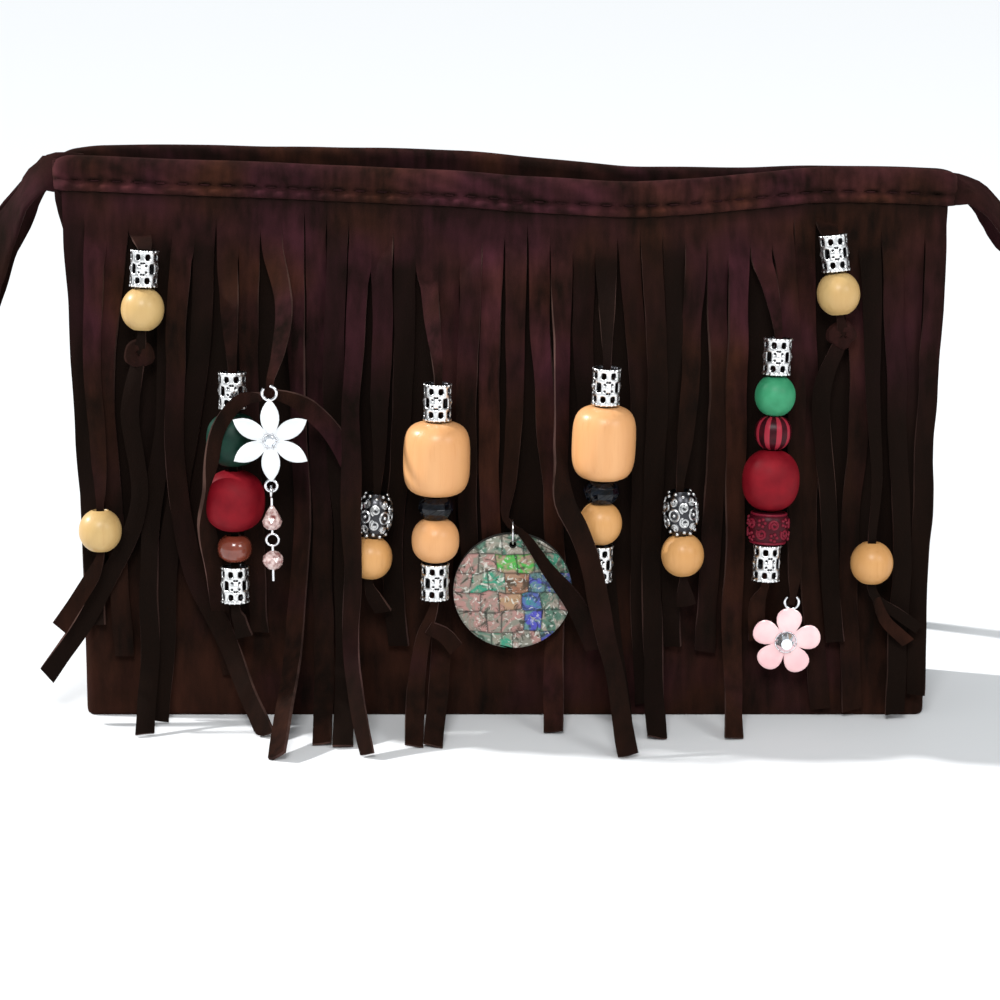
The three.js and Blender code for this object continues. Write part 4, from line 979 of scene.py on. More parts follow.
crossingStrips = {  # by index: rows of x, z, out, wide, turn
    9: [(-68.5, 134, 7, 6, 0), (-69.6, 120, 18, 4.2, 0), (-71.4, 113.2, 25.4, 2.4, 0),
        (-72, 109.6, 24.2, 2.2, 0), (-74, 107.4, 21.6, 2.6, 0), (-80.6, 106, 20.8, 4.6, 0),
        (-87.6, 98, 22.9, 5.2, -30), (-90.4, 85, 21.4, 5.2, -46), (-92.8, 73, 19.6, 5.2, -60),
        (-92.4, 60, 14.8, 6, -42), (-90, 44, 9, 6, -12), (-89.5, 30, 2.4, 6.2, 0),
        (-87.5, 14, 1.4, 6.2, 0)],
    13: [(-47.6, 105, 6, 6.4, 0), (-47.6, 78, 18, 6.4, 0), (-47.6, 52, 18.6, 6.4, 0),
         (-47.5, 24, 24, 6, 20), (-42, 1.4, 39, 5.4, 30)],
    20: [(3, 105, 2.8, 6.4, 0), (1.2, 78, 3.6, 5, 0), (0.2, 66.6, 6, 2.2, 0), (2.5, 63.9, 6.2, 1.8, 0),
         (5.2, 63, 9.4, 2.6, 0), (13.4, 51.1, 9.6, 4.4, 0), (21.3, 40.7, 9.6, 6.4, 0),
         (27.6, 24.7, 8, 6.2, 0)],
    22: [(17.6, 121, 4, 6, -30), (17.4, 99, 9, 5.6, -64), (17.2, 87, 15, 6, -64),
         (18.6, 76.5, 23, 6.4, -34), (22.6, 68, 24, 6.6, -10), (28, 50, 22, 6.6, 0),
         (32.6, 28, 28, 6.8, 0), (38.2, 0.9, 39, 6.8, 0)],
    32: [(90.5, 110, 3.2, 6, 0), (91, 72, 3.2, 6, 0), (90.8, 49, 11, 4, 0), (90.1, 43, 12.8, 2.2, 0),
         (90, 39.8, 10.3, 2, 0), (90, 36.8, 5.4, 2.4, 0), (91, 22, 2.4, 5.6, 0)],
}
looseEnds = [  # rows of x, z, out, wide
    [(-72, 108.6, 22.2, 2.4), (-66.5, 107, 21, 4), (-60.6, 102.9, 16, 6), (-53, 94, 10.5, 6.2),
     (-48.4, 84, 9, 6)],
    [(-24, 34, 14.6, 4), (-19, 31, 13, 5), (-15.5, 26, 11, 5)],
    [(116.6, 41, 10.2, 2.6), (119.5, 34, 9.6, 3.6), (127.5, 26, 7, 4)],
]
beadSizes = {  # radius, height, bore, how square the shoulder is
    "silver_tube": (4.4, 11.6, 3.5, 40), "silver_oval": (5.7, 13.8, 3, 2.4),
    "wood_bead": (6.8, 13, 2.2, 2.1), "wide_wood_bead": (7.5, 13.8, 2.2, 2.4),
    "wood_barrel": (10.4, 23.2, 2.4, 3.8), "black_spacer": (5.6, 6.6, 2.2, 2.6),
    "green_bead": (6.4, 12.2, 2.2, 2.1), "dark_green_bead": (8.4, 16.4, 2.2, 2.5),
    "red_bead": (9.8, 19, 2.3, 2.35), "striped_bead": (5.6, 10.2, 2.1, 2.4),
    "carved_bead": (6.6, 10, 2.2, 5), "amber_bead": (5.4, 8.3, 2.1, 2.4),
}


def stripRow(x, z, out, wide=fringeSettings["wide"], turn=0):  # lies clear of the wall, turned with it
    half = wide / 2 * abs(math.sin(math.radians(turn))) + fringeSettings["thick"] / 2
    clear = half + fringeSettings["headGap"]
    slope = (outward("front", x + 2, z) - outward("front", x - 2, z)) / 4
    lie = math.degrees(math.atan(slope))
    return {"point": ahead(x, z, max(out, clear)), "wide": wide, "turn": turn + lie}


def stripTop(index):
    return (index - (fringeSettings["count"] - 1) / 2) * fringeSettings["pitch"]


def headTop(x):
    return wallTop("front", x) - fringeSettings["hemDrop"] - fringeSettings["gap"]


def slitTop(x):
    return headTop(x) - fringeSettings["headHeight"]


def slitDepth(number):  # how far under the hem the cut before a strip starts
    share = clamp(0.5 + 1.1 * wobble(17, number * 0.83))
    return setSlits.get(number, lerp(fringeSettings["shortSlit"], fringeSettings["longSlit"], share))


def parted(index, u, z):  # 0 in the uncut head, 1 where the strip hangs free
    depth = headTop(stripTop(index)) - z
    slit = lerp(slitDepth(index + 1), slitDepth(index), u)
    opening = fringeSettings["highOpening" if index in highStrings else "opening"]
    return smoothStep(depth, slit, slit + opening)


def stripStart(index, nextX=None, out=3):
    x = stripTop(index)
    flush = fringeSettings["headOut"]
    second = slitTop(x) + (3 if nextX is None else -2)
    rows = [stripRow(x, headTop(x) + fringeSettings["tuck"], flush), stripRow(x, second, flush)]
    if nextX is not None:
        rows.append(stripRow(lerp(x, nextX, 0.12), slitTop(x) - fringeSettings["layerDrop"], out))
    return rows


def plainRows(index, upper, lower, tip, rise, reach, out, low, turn):
    upperZ, lowerZ = fringeSettings["upper"], fringeSettings["lower"]
    wide = fringeSettings["wide"]
    end = stripRow(tip, rise, low + 0.6, wide, turn)
    near = stripRow(lerp(lower, tip, 0.55), lerp(lowerZ, rise, 0.6), low, wide, 0.7 * turn)
    if reach:
        end["point"].y = -reach
        near["point"].y = min(near["point"].y, lerp(near["point"].y, -reach, 0.15))
    return [*stripStart(index, upper, out), stripRow(upper, upperZ, out, wide, 0.3 * turn),
            stripRow(lower, lowerZ, low, wide, 0.5 * turn), near, end]


def stringLine(string):  # where a string starts, which way it runs, and its beads' places
    start = ahead(*string["top"], string["out"])
    line = (ahead(*string["foot"], string["out"]) - start).normalized()
    run, places = 0, []
    for kind in string["beads"]:
        height = beadSizes[kind][1]
        places.append(start + line * (run + height / 2))
        run += height + string.get("space", fringeSettings["gap"])
    return start, line, run, places


def stringRows(string):
    start, line, run, _ = stringLine(string)
    isHigh = string["index"] in highStrings
    rows = stripStart(string["index"], None if isHigh else string["before"][0][0])
    rows += [stripRow(*row) for row in string["before"]]
    for distance in (-1.5, run * 0.2, run * 0.8, run + 1.2):
        wide = fringeSettings["highWide" if isHigh and distance < 0 else "strungWide"]
        rows.append({"point": start + line * distance, "wide": wide, "turn": 0})
    if "knot" in string:
        rows.append(stripRow(*string["knot"], fringeSettings["knotWide"]))
    return rows + [stripRow(*row) for row in string["after"]]


def makeStrip(rows, seed, index=None):  # strips with an index are cut from the head
    points = [row["point"] for row in rows]
    places, length = evenSteps(points, fringeSettings["spacing"])
    last = len(rows) - 1
    frames = []
    for at in places:
        i = min(int(at), last - 1)
        point, tangent = curveAt(points, at)
        face = Vector((0, -1, 0))
        face = (face - tangent * face.dot(tangent)).normalized()
        turn = lerp(rows[i]["turn"], rows[i + 1]["turn"], at - i)
        turn += fringeSettings["twist"] * wobble(seed + 23, at * 0.9) * clamp(at - 2)
        face = Quaternion(tangent, math.radians(turn)) @ face
        wide = lerp(rows[i]["wide"], rows[i + 1]["wide"], at - i)
        narrow = fringeSettings["narrowing"] * clamp(0.5 + 1.2 * wobble(seed + 31, at * 0.8))
        wide *= 1 - narrow * clamp(at - 2)
        frames.append((point, tangent, tangent.cross(face), face, wide))
    slant = 0.5 * wobble(seed, 9.3)

    def place(u, v):
        k = round(v * (len(frames) - 1))
        point, tangent, across, face, wide = frames[k]
        side = 2 * u - 1
        free = smoothStep(v, 0.06, 0.3) * clamp((wide - fringeSettings["strungWide"]) / 3)
        cup = fringeSettings["curl"] * wobble(seed, v * length / 37) * (side * side - 0.4) * free
        edge = 1 + fringeSettings["ragged"] * wobble(seed + 11 * side, v * length / 9) * abs(side)
        spot = point + across * (side * wide / 2 * edge) + face * cup
        spot += across * (fringeSettings["sway"] * wobble(seed + 40, v * length / 23) * free)
        spot += tangent * (slant * side * wide / 2 * smoothStep(v, 0.93, 1))
        spot.z = max(spot.z, fringeSettings["floorLift"])
        if index is not None:
            headX = stripTop(index) - side * fringeSettings["pitch"] / 2
            head = ahead(headX, spot.z, fringeSettings["headOut"])
            spot = head.lerp(spot, parted(index, u, spot.z))
        return spot * mm

    strip = gridSheet("strip", fringeSettings["across"], len(frames) - 1, place)
    tone = 0.95 * wobble(seed, 3.7, 1.3)
    tone = max(tone, 0.12) if seed in crossingStrips else max(tone, -0.3)

    def shade(spot):  # painted shadow close under the hem and painted shade low down, then each strip its own tone
        if index is None:
            return tone
        depth = headTop(stripTop(index)) - spot.z / mm
        own = lerp(fringeSettings["headTone"], tone, parted(index, 0.5, spot.z / mm))
        shadow = fringeSettings["underHem"] * (1 - smoothStep(depth, 0.2, 2.4))
        return own - shadow - fringeSettings["lowShade"] * smoothStep(depth, 35, 80)

    addValues(strip, "tone", shade)
    return strip


knotSettings = {"radius": 2.5, "wide": 2.1, "deep": 1.4, "around": 22, "across": 8}


def makeKnot(centre, seed):  # a flattened loop where the strip is tied round itself
    settings = knotSettings

    def place(u, v):
        angle, turn = 2 * math.pi * u, 2 * math.pi * v
        bumpy = 1 + 0.5 * wobble(seed, 1.5 * math.cos(angle))
        bumpy += 0.4 * wobble(seed + 3, 2.2 * math.sin(angle))
        reach = settings["radius"] + settings["wide"] * bumpy * math.cos(turn)
        depth = settings["deep"] * bumpy * math.sin(turn)
        return (centre + Vector((reach * math.cos(angle), -depth, reach * math.sin(angle)))) * mm

    knot = gridSheet("knot", settings["around"], settings["across"], place)
    closeUp(knot)
    addValues(knot, "tone", lambda spot: -0.05)
    return knot


def makeFringe():
    pieces = [makeStrip(plainRows(*row), row[0], row[0]) for row in plainStrips]
    knots = []
    for string in strings:
        pieces.append(makeStrip(stringRows(string), string["index"], string["index"]))
        if "knot" in string:
            knots.append(makeKnot(ahead(*string["knot"]), 60 + string["index"]))
    for index, rows in crossingStrips.items():
        way = stripStart(index, rows[0][0]) + [stripRow(*row) for row in rows]
        pieces.append(makeStrip(way, index, index))
    for number, rows in enumerate(looseEnds):
        pieces.append(makeStrip([stripRow(*row) for row in rows], 70 + number))
    strips = joined(pieces, "strips")
    dress(strips, "suede", looks["suede"], looks["cutEdge"])
    useModifier(strips, "SOLIDIFY", thickness=fringeSettings["thick"] * mm, offset=0,
                material_offset_rim=1)
    for knot in knots:
        knot.data.materials.append(looks["suede"])
    fringe = joined([strips, *knots], "fringe_strips")
    smoothShade(fringe, 35)
    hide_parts("fringe")


makeFringe()
print("fringe cut and hung")


# beads: one model of each kind, copied along the strings

latheSettings = {"sides": 28, "reliefSides": 30, "levels": 13, "lip": 0.35}  # a lip round each hole


def bulgeAt(kind, level):  # share of a bead's radius at a level from 0 to 1, the middle to the end
    radius, _, bore, square = beadSizes[kind]
    end = (1 - ((bore + latheSettings["lip"]) / radius) ** square) ** (1 / square)
    return (1 - (level * end) ** square) ** (1 / square)


def beadProfile(kind, sink=0.0):
    radius, height, bore, _ = beadSizes[kind]
    levels = latheSettings["levels"]
    profile = [(bore, -height / 2)]
    for k in range(levels):
        level = math.sin(math.pi * (k / (levels - 1) - 0.5))
        profile.append((max(radius * bulgeAt(kind, abs(level)) - sink, bore), level * height / 2))
    return profile + [(bore, height / 2)]


def makeTurned(kind):
    bead = turnOnLathe(kind, beadProfile(kind), latheSettings["sides"])
    subdivided(bead)
    smoothShade(bead, 50)
    return bead


facetSettings = {
    "sides": 14, "end": 0.72, "shoulder": 0.92, "shoulderUp": 0.24, "edge": 0.07, "polish": 0.05,
}


def makeFaceted(kind):  # cut glass: tall flat facets with polished edges
    radius, height, bore, _ = beadSizes[kind]
    settings = facetSettings
    end, shoulder = radius * settings["end"], radius * settings["shoulder"]
    up = height * settings["shoulderUp"]
    profile = [(bore, -height / 2), (end, -height / 2), (shoulder, -up), (radius, 0), (shoulder, up),
               (end, height / 2), (bore, height / 2)]
    bead = turnOnLathe(kind, profile, settings["sides"])
    editAll(bead)
    pickFaces(bead, lambda face: face.center.xy.length > radius * 0.6)  # not the walls of the bore
    bpy.ops.mesh.quads_convert_to_tris(quad_method="FIXED")
    bpy.ops.mesh.inset(thickness=settings["edge"], depth=settings["polish"], use_individual=True)
    bpy.ops.object.mode_set(mode="OBJECT")
    return bead


ribSettings = {"ribs": 9, "sidesPerRib": 6, "height": 0.035}


def makeStripedBead(kind):  # ribs from hole to hole
    radius, _, bore, _ = beadSizes[kind]
    ribs = ribSettings["ribs"]
    bead = turnOnLathe(kind, beadProfile(kind), ribs * ribSettings["sidesPerRib"])

    def stripe(spot):
        return 0.5 + 0.5 * math.cos(ribs * math.atan2(spot.y, spot.x))

    for vert in bead.data.vertices:
        outside = clamp((vert.co.xy.length - bore) / (radius - bore))
        grow = 1 + ribSettings["height"] * (stripe(vert.co) - 0.5) * outside
        vert.co.x *= grow
        vert.co.y *= grow
    addValues(bead, "stripe", stripe)
    smoothShade(bead, 50)
    return bead


def onBarrel(kind, angle, z, out):  # a place on the outside of a bead
    radius, height, _, _ = beadSizes[kind]
    reach = radius * bulgeAt(kind, clamp(abs(z) / (height / 2))) + out
    return Vector((reach * math.cos(angle), reach * math.sin(angle), z))


def scroll(kind, angle, z, reach, turns, out):  # a wire rolled up on the outside of a bead
    spots = []
    count = 10 * math.ceil(abs(turns))
    for k in range(count + 1):
        share = k / count
        swing = 2 * math.pi * turns * share
        size = reach * lerp(0.25, 1, share)
        around = angle + size * math.cos(swing) / beadSizes[kind][0]
        spots.append(onBarrel(kind, around, z + size * math.sin(swing), out))
    return spots, False


def aroundOn(kind, angle, z, reach, count, out):  # places in a ring on the outside of a bead
    spots = []
    for k in range(count):
        swing = 2 * math.pi * k / count
        around = angle + reach * math.cos(swing) / beadSizes[kind][0]
        spots.append(onBarrel(kind, around, z + reach * math.sin(swing), out))
    return spots


def raisedBead(kind, wires, balls, settings, bright):  # a ground painted dark as shade, with bright wires and balls on it
    body = turnOnLathe(kind, beadProfile(kind, settings["sink"]), latheSettings["reliefSides"])
    addValues(body, "shine", lambda spot: 0.0)
    relief = bentWires("relief", wires, settings["line"], 1)
    clearSelection()
    bpy.ops.mesh.primitive_ico_sphere_add(subdivisions=2, radius=settings["stud"])
    model = bpy.context.object
    studs = [placedCopy(model, "stud", Matrix.Translation(spot)) for spot in balls]
    drop(model)
    relief = joined([relief, *studs], "relief")
    addValues(relief, "shine", lambda spot: bright)
    whole = joined([body, relief], kind)
    smoothShade(whole, 50)
    return whole


carvedSettings = {
    "columns": 5, "line": 0.42, "stud": 0.55, "sink": 0.35, "rimUp": 0.44, "rimPoints": 32,
    "leafUp": 1.4, "leaf": 1.7, "leafTurns": 1.6, "petals": 5, "flower": 1.1,
    "upperFlower": 2.1, "lowerFlower": -2.4,
}


def makeCarvedBead(kind):  # a barrel with two rims, rolled leaves and small flowers
    height = beadSizes[kind][1]
    settings = carvedSettings
    sink = settings["sink"]
    wires, studs = [], []
    step = 2 * math.pi / settings["columns"]
    count = settings["rimPoints"]
    for z in (-settings["rimUp"] * height, settings["rimUp"] * height):
        wires.append(([onBarrel(kind, 2 * math.pi * k / count, z, -sink) for k in range(count)], True))
    for k in range(settings["columns"]):
        angle = k * step
        leaf, turns, up = settings["leaf"], settings["leafTurns"], settings["leafUp"]
        wires.append(scroll(kind, angle, up, leaf, turns, -sink))
        wires.append(scroll(kind, angle + step / 2, -up, leaf, -turns, -sink))
        flower, petals = settings["flower"], settings["petals"]
        studs += aroundOn(kind, angle + step / 2, settings["upperFlower"], flower, petals, -sink)
        studs += aroundOn(kind, angle, settings["lowerFlower"], flower, petals, -sink)
    return raisedBead(kind, wires, studs, settings, 1.0)


ovalSettings = {  # the scrolls are height, reach and turns
    "columns": 5, "line": 0.42, "stud": 0.68, "sink": 0.5, "ring": 1.75, "ringPoints": 16,
    "sideScroll": (2.3, 1.7, 1.7), "endScroll": (4.1, 1.3, -1.5), "sideStud": 5.6, "endStud": 6.3,
}


def makeOval(kind):  # cast oval: rings with a stud, rolled wires and studded ends on a ground painted dark as the shade behind the openwork
    settings = ovalSettings
    sink = settings["sink"]
    wires, studs = [], []
    step = 2 * math.pi / settings["columns"]
    for k in range(settings["columns"]):
        angle = k * step
        wires.append((aroundOn(kind, angle, 0, settings["ring"], settings["ringPoints"], -sink), True))
        studs.append(onBarrel(kind, angle, 0, -sink))
        for up in (-1, 1):
            for at, (z, reach, turns) in ((angle + step / 2, settings["sideScroll"]),
                                          (angle, settings["endScroll"])):
                wires.append(scroll(kind, at, up * z, reach, up * turns, -sink))
            studs.append(onBarrel(kind, angle + step / 2, up * settings["sideStud"], -sink))
            studs.append(onBarrel(kind, angle, up * settings["endStud"], -sink))
    return raisedBead(kind, wires, studs, settings, 0.4)


tubeSettings = {
    "columns": 8, "wall": 0.9, "boss": 0.3, "sink": 0.65, "rim": 0.22,
    "notchEdge": 0.1, "bossEdge": 0.14,
    "cuts": [4.9, 4.5, 2.7, 2.1, 1.4, 0.7],  # where the wall is divided, above and below the middle
}


def makeTube(kind):  # cast tube: a row of holes near each rim, smaller holes and studded stars between
    radius, height, _, _ = beadSizes[kind]
    settings = tubeSettings
    rimFoot, holeTop, holeFoot, pointTop, slotTop, middle = settings["cuts"]
    clearSelection()
    bpy.ops.mesh.primitive_cylinder_add(vertices=4 * settings["columns"], radius=radius - 0.1,
                                        depth=height, end_fill_type="NOTHING", enter_editmode=True)
    tube = bpy.context.object
    for cut in settings["cuts"]:
        for level in (-cut, cut):
            bpy.ops.mesh.select_all(action="SELECT")
            bpy.ops.mesh.bisect(plane_co=(0, 0, level), plane_no=(0, 0, 1))
    bpy.ops.mesh.select_mode(type="FACE")
    step = 360 / settings["columns"]

    def swing(face, period, shift):  # degrees from the middle of the nearest place in a repeat
        angle = math.degrees(math.atan2(face.center.y, face.center.x)) + shift
        return abs((angle + period / 2) % period - period / 2)

    def isHole(face):
        up = abs(face.center.z)
        outer = holeFoot < up < holeTop and swing(face, step, step / 2) < step / 4
        return outer or (up < slotTop and swing(face, 2 * step, step) < step / 4)

    def isNotch(face):  # between the points of a star
        up, turn = abs(face.center.z), swing(face, 2 * step, 0)
        inner, outer = turn < step / 4, step / 4 < turn < step / 2
        return (slotTop < up < pointTop and inner) or (middle < up < slotTop and outer)

    def isBoss(face):
        return abs(face.center.z) < middle and swing(face, 2 * step, 0) < step / 4

    def isRimStud(face):
        return abs(face.center.z) > rimFoot and swing(face, step / 2, step / 8) < step / 8

    pickFaces(tube, isHole)
    bpy.ops.mesh.delete(type="FACE")
    pickFaces(tube, isNotch)
    bpy.ops.mesh.inset(thickness=settings["notchEdge"], use_individual=True)
    bpy.ops.transform.shrink_fatten(value=-settings["sink"])
    pickFaces(tube, isBoss)
    bpy.ops.mesh.inset(thickness=settings["bossEdge"])
    bpy.ops.transform.shrink_fatten(value=settings["boss"])
    pickFaces(tube, isRimStud)
    bpy.ops.mesh.inset(thickness=settings["notchEdge"], use_individual=True)
    bpy.ops.transform.shrink_fatten(value=settings["rim"])
    bpy.ops.object.mode_set(mode="OBJECT")
    useModifier(tube, "SOLIDIFY", thickness=settings["wall"], offset=-1)
    subdivided(tube)

    def shine(spot):  # painted shade: dark inside, grey in the notches, bright outside
        proud = spot.xy.length - radius
        return 0.55 * clamp((proud + 0.55) / 0.35) + 0.45 * clamp((proud + 0.08) / 0.2)

    addValues(tube, "shine", shine)
    smoothShade(tube, 60)
    return tube


beadMakers = {  # the other kinds are plain turned beads
    "silver_tube": makeTube, "silver_oval": makeOval, "black_spacer": makeFaceted,
    "striped_bead": makeStripedBead, "carved_bead": makeCarvedBead,
}
beadLooks = {  # look and slot of each kind
    "silver_tube": ("silver", "silver"), "silver_oval": ("silver", "silver"),
    "wood_bead": ("paleWood", "pale_wood"), "wide_wood_bead": ("peachWood", "peach_wood"),
    "wood_barrel": ("peachWood", "peach_wood"),
    "black_spacer": ("black", "black_glass"), "green_bead": ("green", "green_wood"),
    "dark_green_bead": ("shadedGreen", "green_wood"), "red_bead": ("red", "red_wood"),
    "striped_bead": ("striped", "red_resin"), "carved_bead": ("carved", "red_resin"),
    "amber_bead": ("amber", "amber_glass"),
}
honeyBeads = [  # warmer than the other small wood beads
    "left_centre_2_wood_bead", "centre_right_4_wood_bead", "right_centre_2_wood_bead",
    "right_edge_1_wood_bead",
]
spinSettings = {"tube": 0.2, "first": 0.7, "next": 1.37}  # the tubes keep a star in front
slimBeads = {"right_4_red_bead": 0.92, "centre_right_2_wood_barrel": 0.95}  # a little thinner


def hangBeads():
    models = {kind: beadMakers.get(kind, makeTurned)(kind) for kind in beadSizes}
    number = 0
    for string in strings:
        _, line, _, places = stringLine(string)
        upright = Vector((0, 0, 1)).rotation_difference(-line).to_matrix().to_4x4()
        for order, (kind, centre) in enumerate(zip(string["beads"], places)):
            node = f"{string['name']}_{order + 1}_{kind}"
            angle = spinSettings["first"] + spinSettings["next"] * number
            if kind == "silver_tube":
                angle = spinSettings["tube"] * math.sin(number)
            spin = Matrix.Rotation(angle, 4, "Z")
            slim = slimBeads.get(node, 1)
            size = Matrix.Diagonal((slim * mm, slim * mm, mm, 1))
            matrix = Matrix.Translation(centre * mm) @ upright @ spin @ size
            bead = placedCopy(models[kind], node + "_piece", matrix)
            look, slot = beadLooks[kind]
            look = "honeyWood" if node in honeyBeads else look
            dress(bead, slot, looks[look])
            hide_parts(node)
            number += 1
    drop(*models.values())


hangBeads()
print("beads strung")


# charms: enamelled blossoms with a cut stone, made flat and then stood up

charmSettings = {
    "white": {"petals": 6, "notch": 4, "tip": 13, "shoulder": 9.8, "spread": 27, "stone": 2,
              "place": (-71.6, 94.9, 24.2), "roll": 0, "loopUp": 14.7, "footDrop": 14.3,
              "gap": 55, "gapAt": 112},
    "pink": {"petals": 5, "notch": 4.6, "tip": None, "shoulder": 16, "spread": 33, "stone": 3.2,
             "place": (88.4, 27.2, 8.2), "roll": -7, "loopUp": 12.9, "footDrop": None,
             "gap": 75, "gapAt": 97},
}  # a petal without a tip is round
charmThick = 1.6
petalEdges = [(0.28, 0.22), (0.45, 0.13)]  # inset and rise, from the rim to the crown
loopSettings = {"radius": 2.2, "wire": 0.5, "footRadius": 1.8, "points": 24}


def standing(place, roll=0):  # stands a shape made in the XY plane upright, its face to the front
    turn = Matrix.Rotation(math.pi / 2, 4, "X") @ Matrix.Rotation(math.radians(roll), 4, "Z")
    return Matrix.Translation(ahead(*place) * mm) @ turn @ Matrix.Scale(mm, 4)


def petalOutline(settings, steps=7):
    def polar(radius, degrees):
        angle = math.radians(degrees)
        return Vector((radius * math.cos(angle), radius * math.sin(angle), 0))

    def bent(points, t):  # a curve drawn by its control points
        while len(points) > 1:
            points = [a.lerp(b, t) for a, b in zip(points, points[1:])]
        return points[0]

    step = 360 / settings["petals"]
    outline = []
    for k in range(settings["petals"]):
        middle = 90 + k * step
        start = polar(settings["notch"], middle - step / 2)
        end = polar(settings["notch"], middle + step / 2)
        left = polar(settings["shoulder"], middle - settings["spread"])
        right = polar(settings["shoulder"], middle + settings["spread"])
        sides = [[start, left, right, end]]
        if settings["tip"]:
            peak = polar(settings["tip"], middle)
            sides = [[start, left, peak], [peak, right, end]]
        count = 2 * steps // len(sides)
        for side in sides:
            outline += [bent(side, j / count) for j in range(count)]
    return outline


stoneSettings = {
    "sides": 10, "height": 0.9, "table": 0.56,  # height and table as shares of the radius
    "crown": 0.65,  # share of the height
}


def makeStone(radius, settings):  # cut stone: table, turned crown facets, girdle
    sides, height = settings["sides"], radius * settings["height"]
    crown = height * settings["crown"]
    clearSelection()
    bpy.ops.mesh.primitive_cone_add(vertices=sides, radius1=radius, radius2=radius * settings["table"],
                                    depth=crown)
    stone = bpy.context.object
    editAll(stone)
    bpy.ops.transform.translate(value=(0, 0, height - crown / 2))
    pickFaces(stone, lambda face: face.normal.z > 0.9)
    bpy.ops.transform.rotate(value=math.pi / sides, orient_axis="Z", center_override=(0, 0, 0))
    pickFaces(stone, lambda face: face.normal.z < -0.9)
    bpy.ops.mesh.extrude_region_move(TRANSFORM_OT_translate={"value": (0, 0, crown - height)})
    bpy.ops.mesh.select_all(action="SELECT")
    bpy.ops.mesh.quads_convert_to_tris()
    bpy.ops.object.mode_set(mode="OBJECT")
    return stone


seatSettings = {
    "prongs": 6, "wire": 0.24, "ringOut": 0.2, "ringUp": 0.25, "points": 24,
    "claw": [(0.25, 0), (0.2, 0.9), (-0.45, 1.25)],  # out from the stone's edge, and up
}


def makeSeat(radius, settings):  # a wire ring with prongs over the stone
    ringUp = (0, 0, settings["ringUp"])
    wires = [circlePath(radius + settings["ringOut"], settings["points"], centre=ringUp)]
    for k in range(settings["prongs"]):
        angle = 2 * math.pi * k / settings["prongs"]
        reach = Vector((math.cos(angle), math.sin(angle), 0))
        claw = [reach * (radius + out) + Vector((0, 0, up)) for out, up in settings["claw"]]
        wires.append((claw, False))
    return bentWires("seat", wires, settings["wire"], 1)


def makeCharm(name, settings, look, slot):
    outline = petalOutline(settings)
    clearSelection()
    bpy.ops.mesh.primitive_circle_add(vertices=len(outline), radius=1, fill_type="NGON")
    charm = bpy.context.object
    for vert, spot in zip(charm.data.vertices, outline):
        vert.co = spot
    editAll(charm)
    bpy.ops.mesh.normals_make_consistent(inside=False)
    flat = charmThick - sum(rise for _, rise in petalEdges)
    bpy.ops.mesh.extrude_region_move(TRANSFORM_OT_translate={"value": (0, 0, flat)})
    for inset, rise in petalEdges:
        bpy.ops.mesh.inset(thickness=inset, depth=rise)
    bpy.ops.mesh.poke()
    bpy.ops.mesh.select_all(action="SELECT")
    bpy.ops.mesh.normals_make_consistent(inside=False)
    bpy.ops.object.mode_set(mode="OBJECT")
    smoothShade(charm, 50)
    onFace = Matrix.Translation((0, 0, charmThick - 0.1))
    stone = makeStone(settings["stone"], stoneSettings)
    stone.data.transform(onFace)
    seat = makeSeat(settings["stone"], seatSettings)
    seat.data.transform(onFace)
    points, middle = loopSettings["points"], charmThick / 2
    loops = [circlePath(loopSettings["radius"], points, centre=(0, settings["loopUp"], middle),
                        gap=settings["gap"], gapAt=settings["gapAt"])]
    if settings["footDrop"]:
        foot = (0, -settings["footDrop"], middle)
        loops.append(circlePath(loopSettings["footRadius"], points, centre=foot))
    rings = bentWires("rings", loops, loopSettings["wire"])
    matrix = standing(settings["place"], settings["roll"])
    blossom = placedCopy(charm, f"{name}_flower_enamel", matrix)
    dress(blossom, slot, looks[look], looks["plate"])
    for face in blossom.data.polygons:
        face.material_index = 0 if face.normal.y < -0.2 else 1
    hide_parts(f"{name}_flower")
    smoothShade(rings, 60)
    smoothShade(seat, 60)
    metal = joined([rings, seat], f"{name}_flower_fittings")
    metal.data.transform(matrix)
    dress(metal, "silver", looks["plate"])
    stone.data.transform(matrix)
    stone.name = f"{name}_flower_stone"
    dress(stone, "rose_crystal", looks["stone"])
    drop(charm)


makeCharm("white", charmSettings["white"], "whiteEnamel", "white_enamel")
makeCharm("pink", charmSettings["pink"], "pinkEnamel", "pink_enamel")
print("blossoms made")


# crystal drop under the white blossom

dropSettings = {
    "link": 1.8, "ring": 1.9, "ringDrop": 17.2, "wire": 0.42, "points": 22, "sides": 8,
    "pins": [(3.4, 6.6), (14, 15.4), (19, 21), (26.6, 30.4)],  # how far down each starts and ends
}
dropRows = [  # radius and height
    (0.5, -6.3), (1.0, -7.1), (1.75, -8.3), (2.6, -9.9), (3.1, -11.4), (2.85, -12.6), (2.0, -13.6),
    (0.5, -14.2),
]
ballRows = [
    (0.5, -20.7), (1.9, -21.3), (2.9, -22.3), (3.4, -23.8), (2.9, -25.2), (1.9, -26.3), (0.5, -26.9),
]


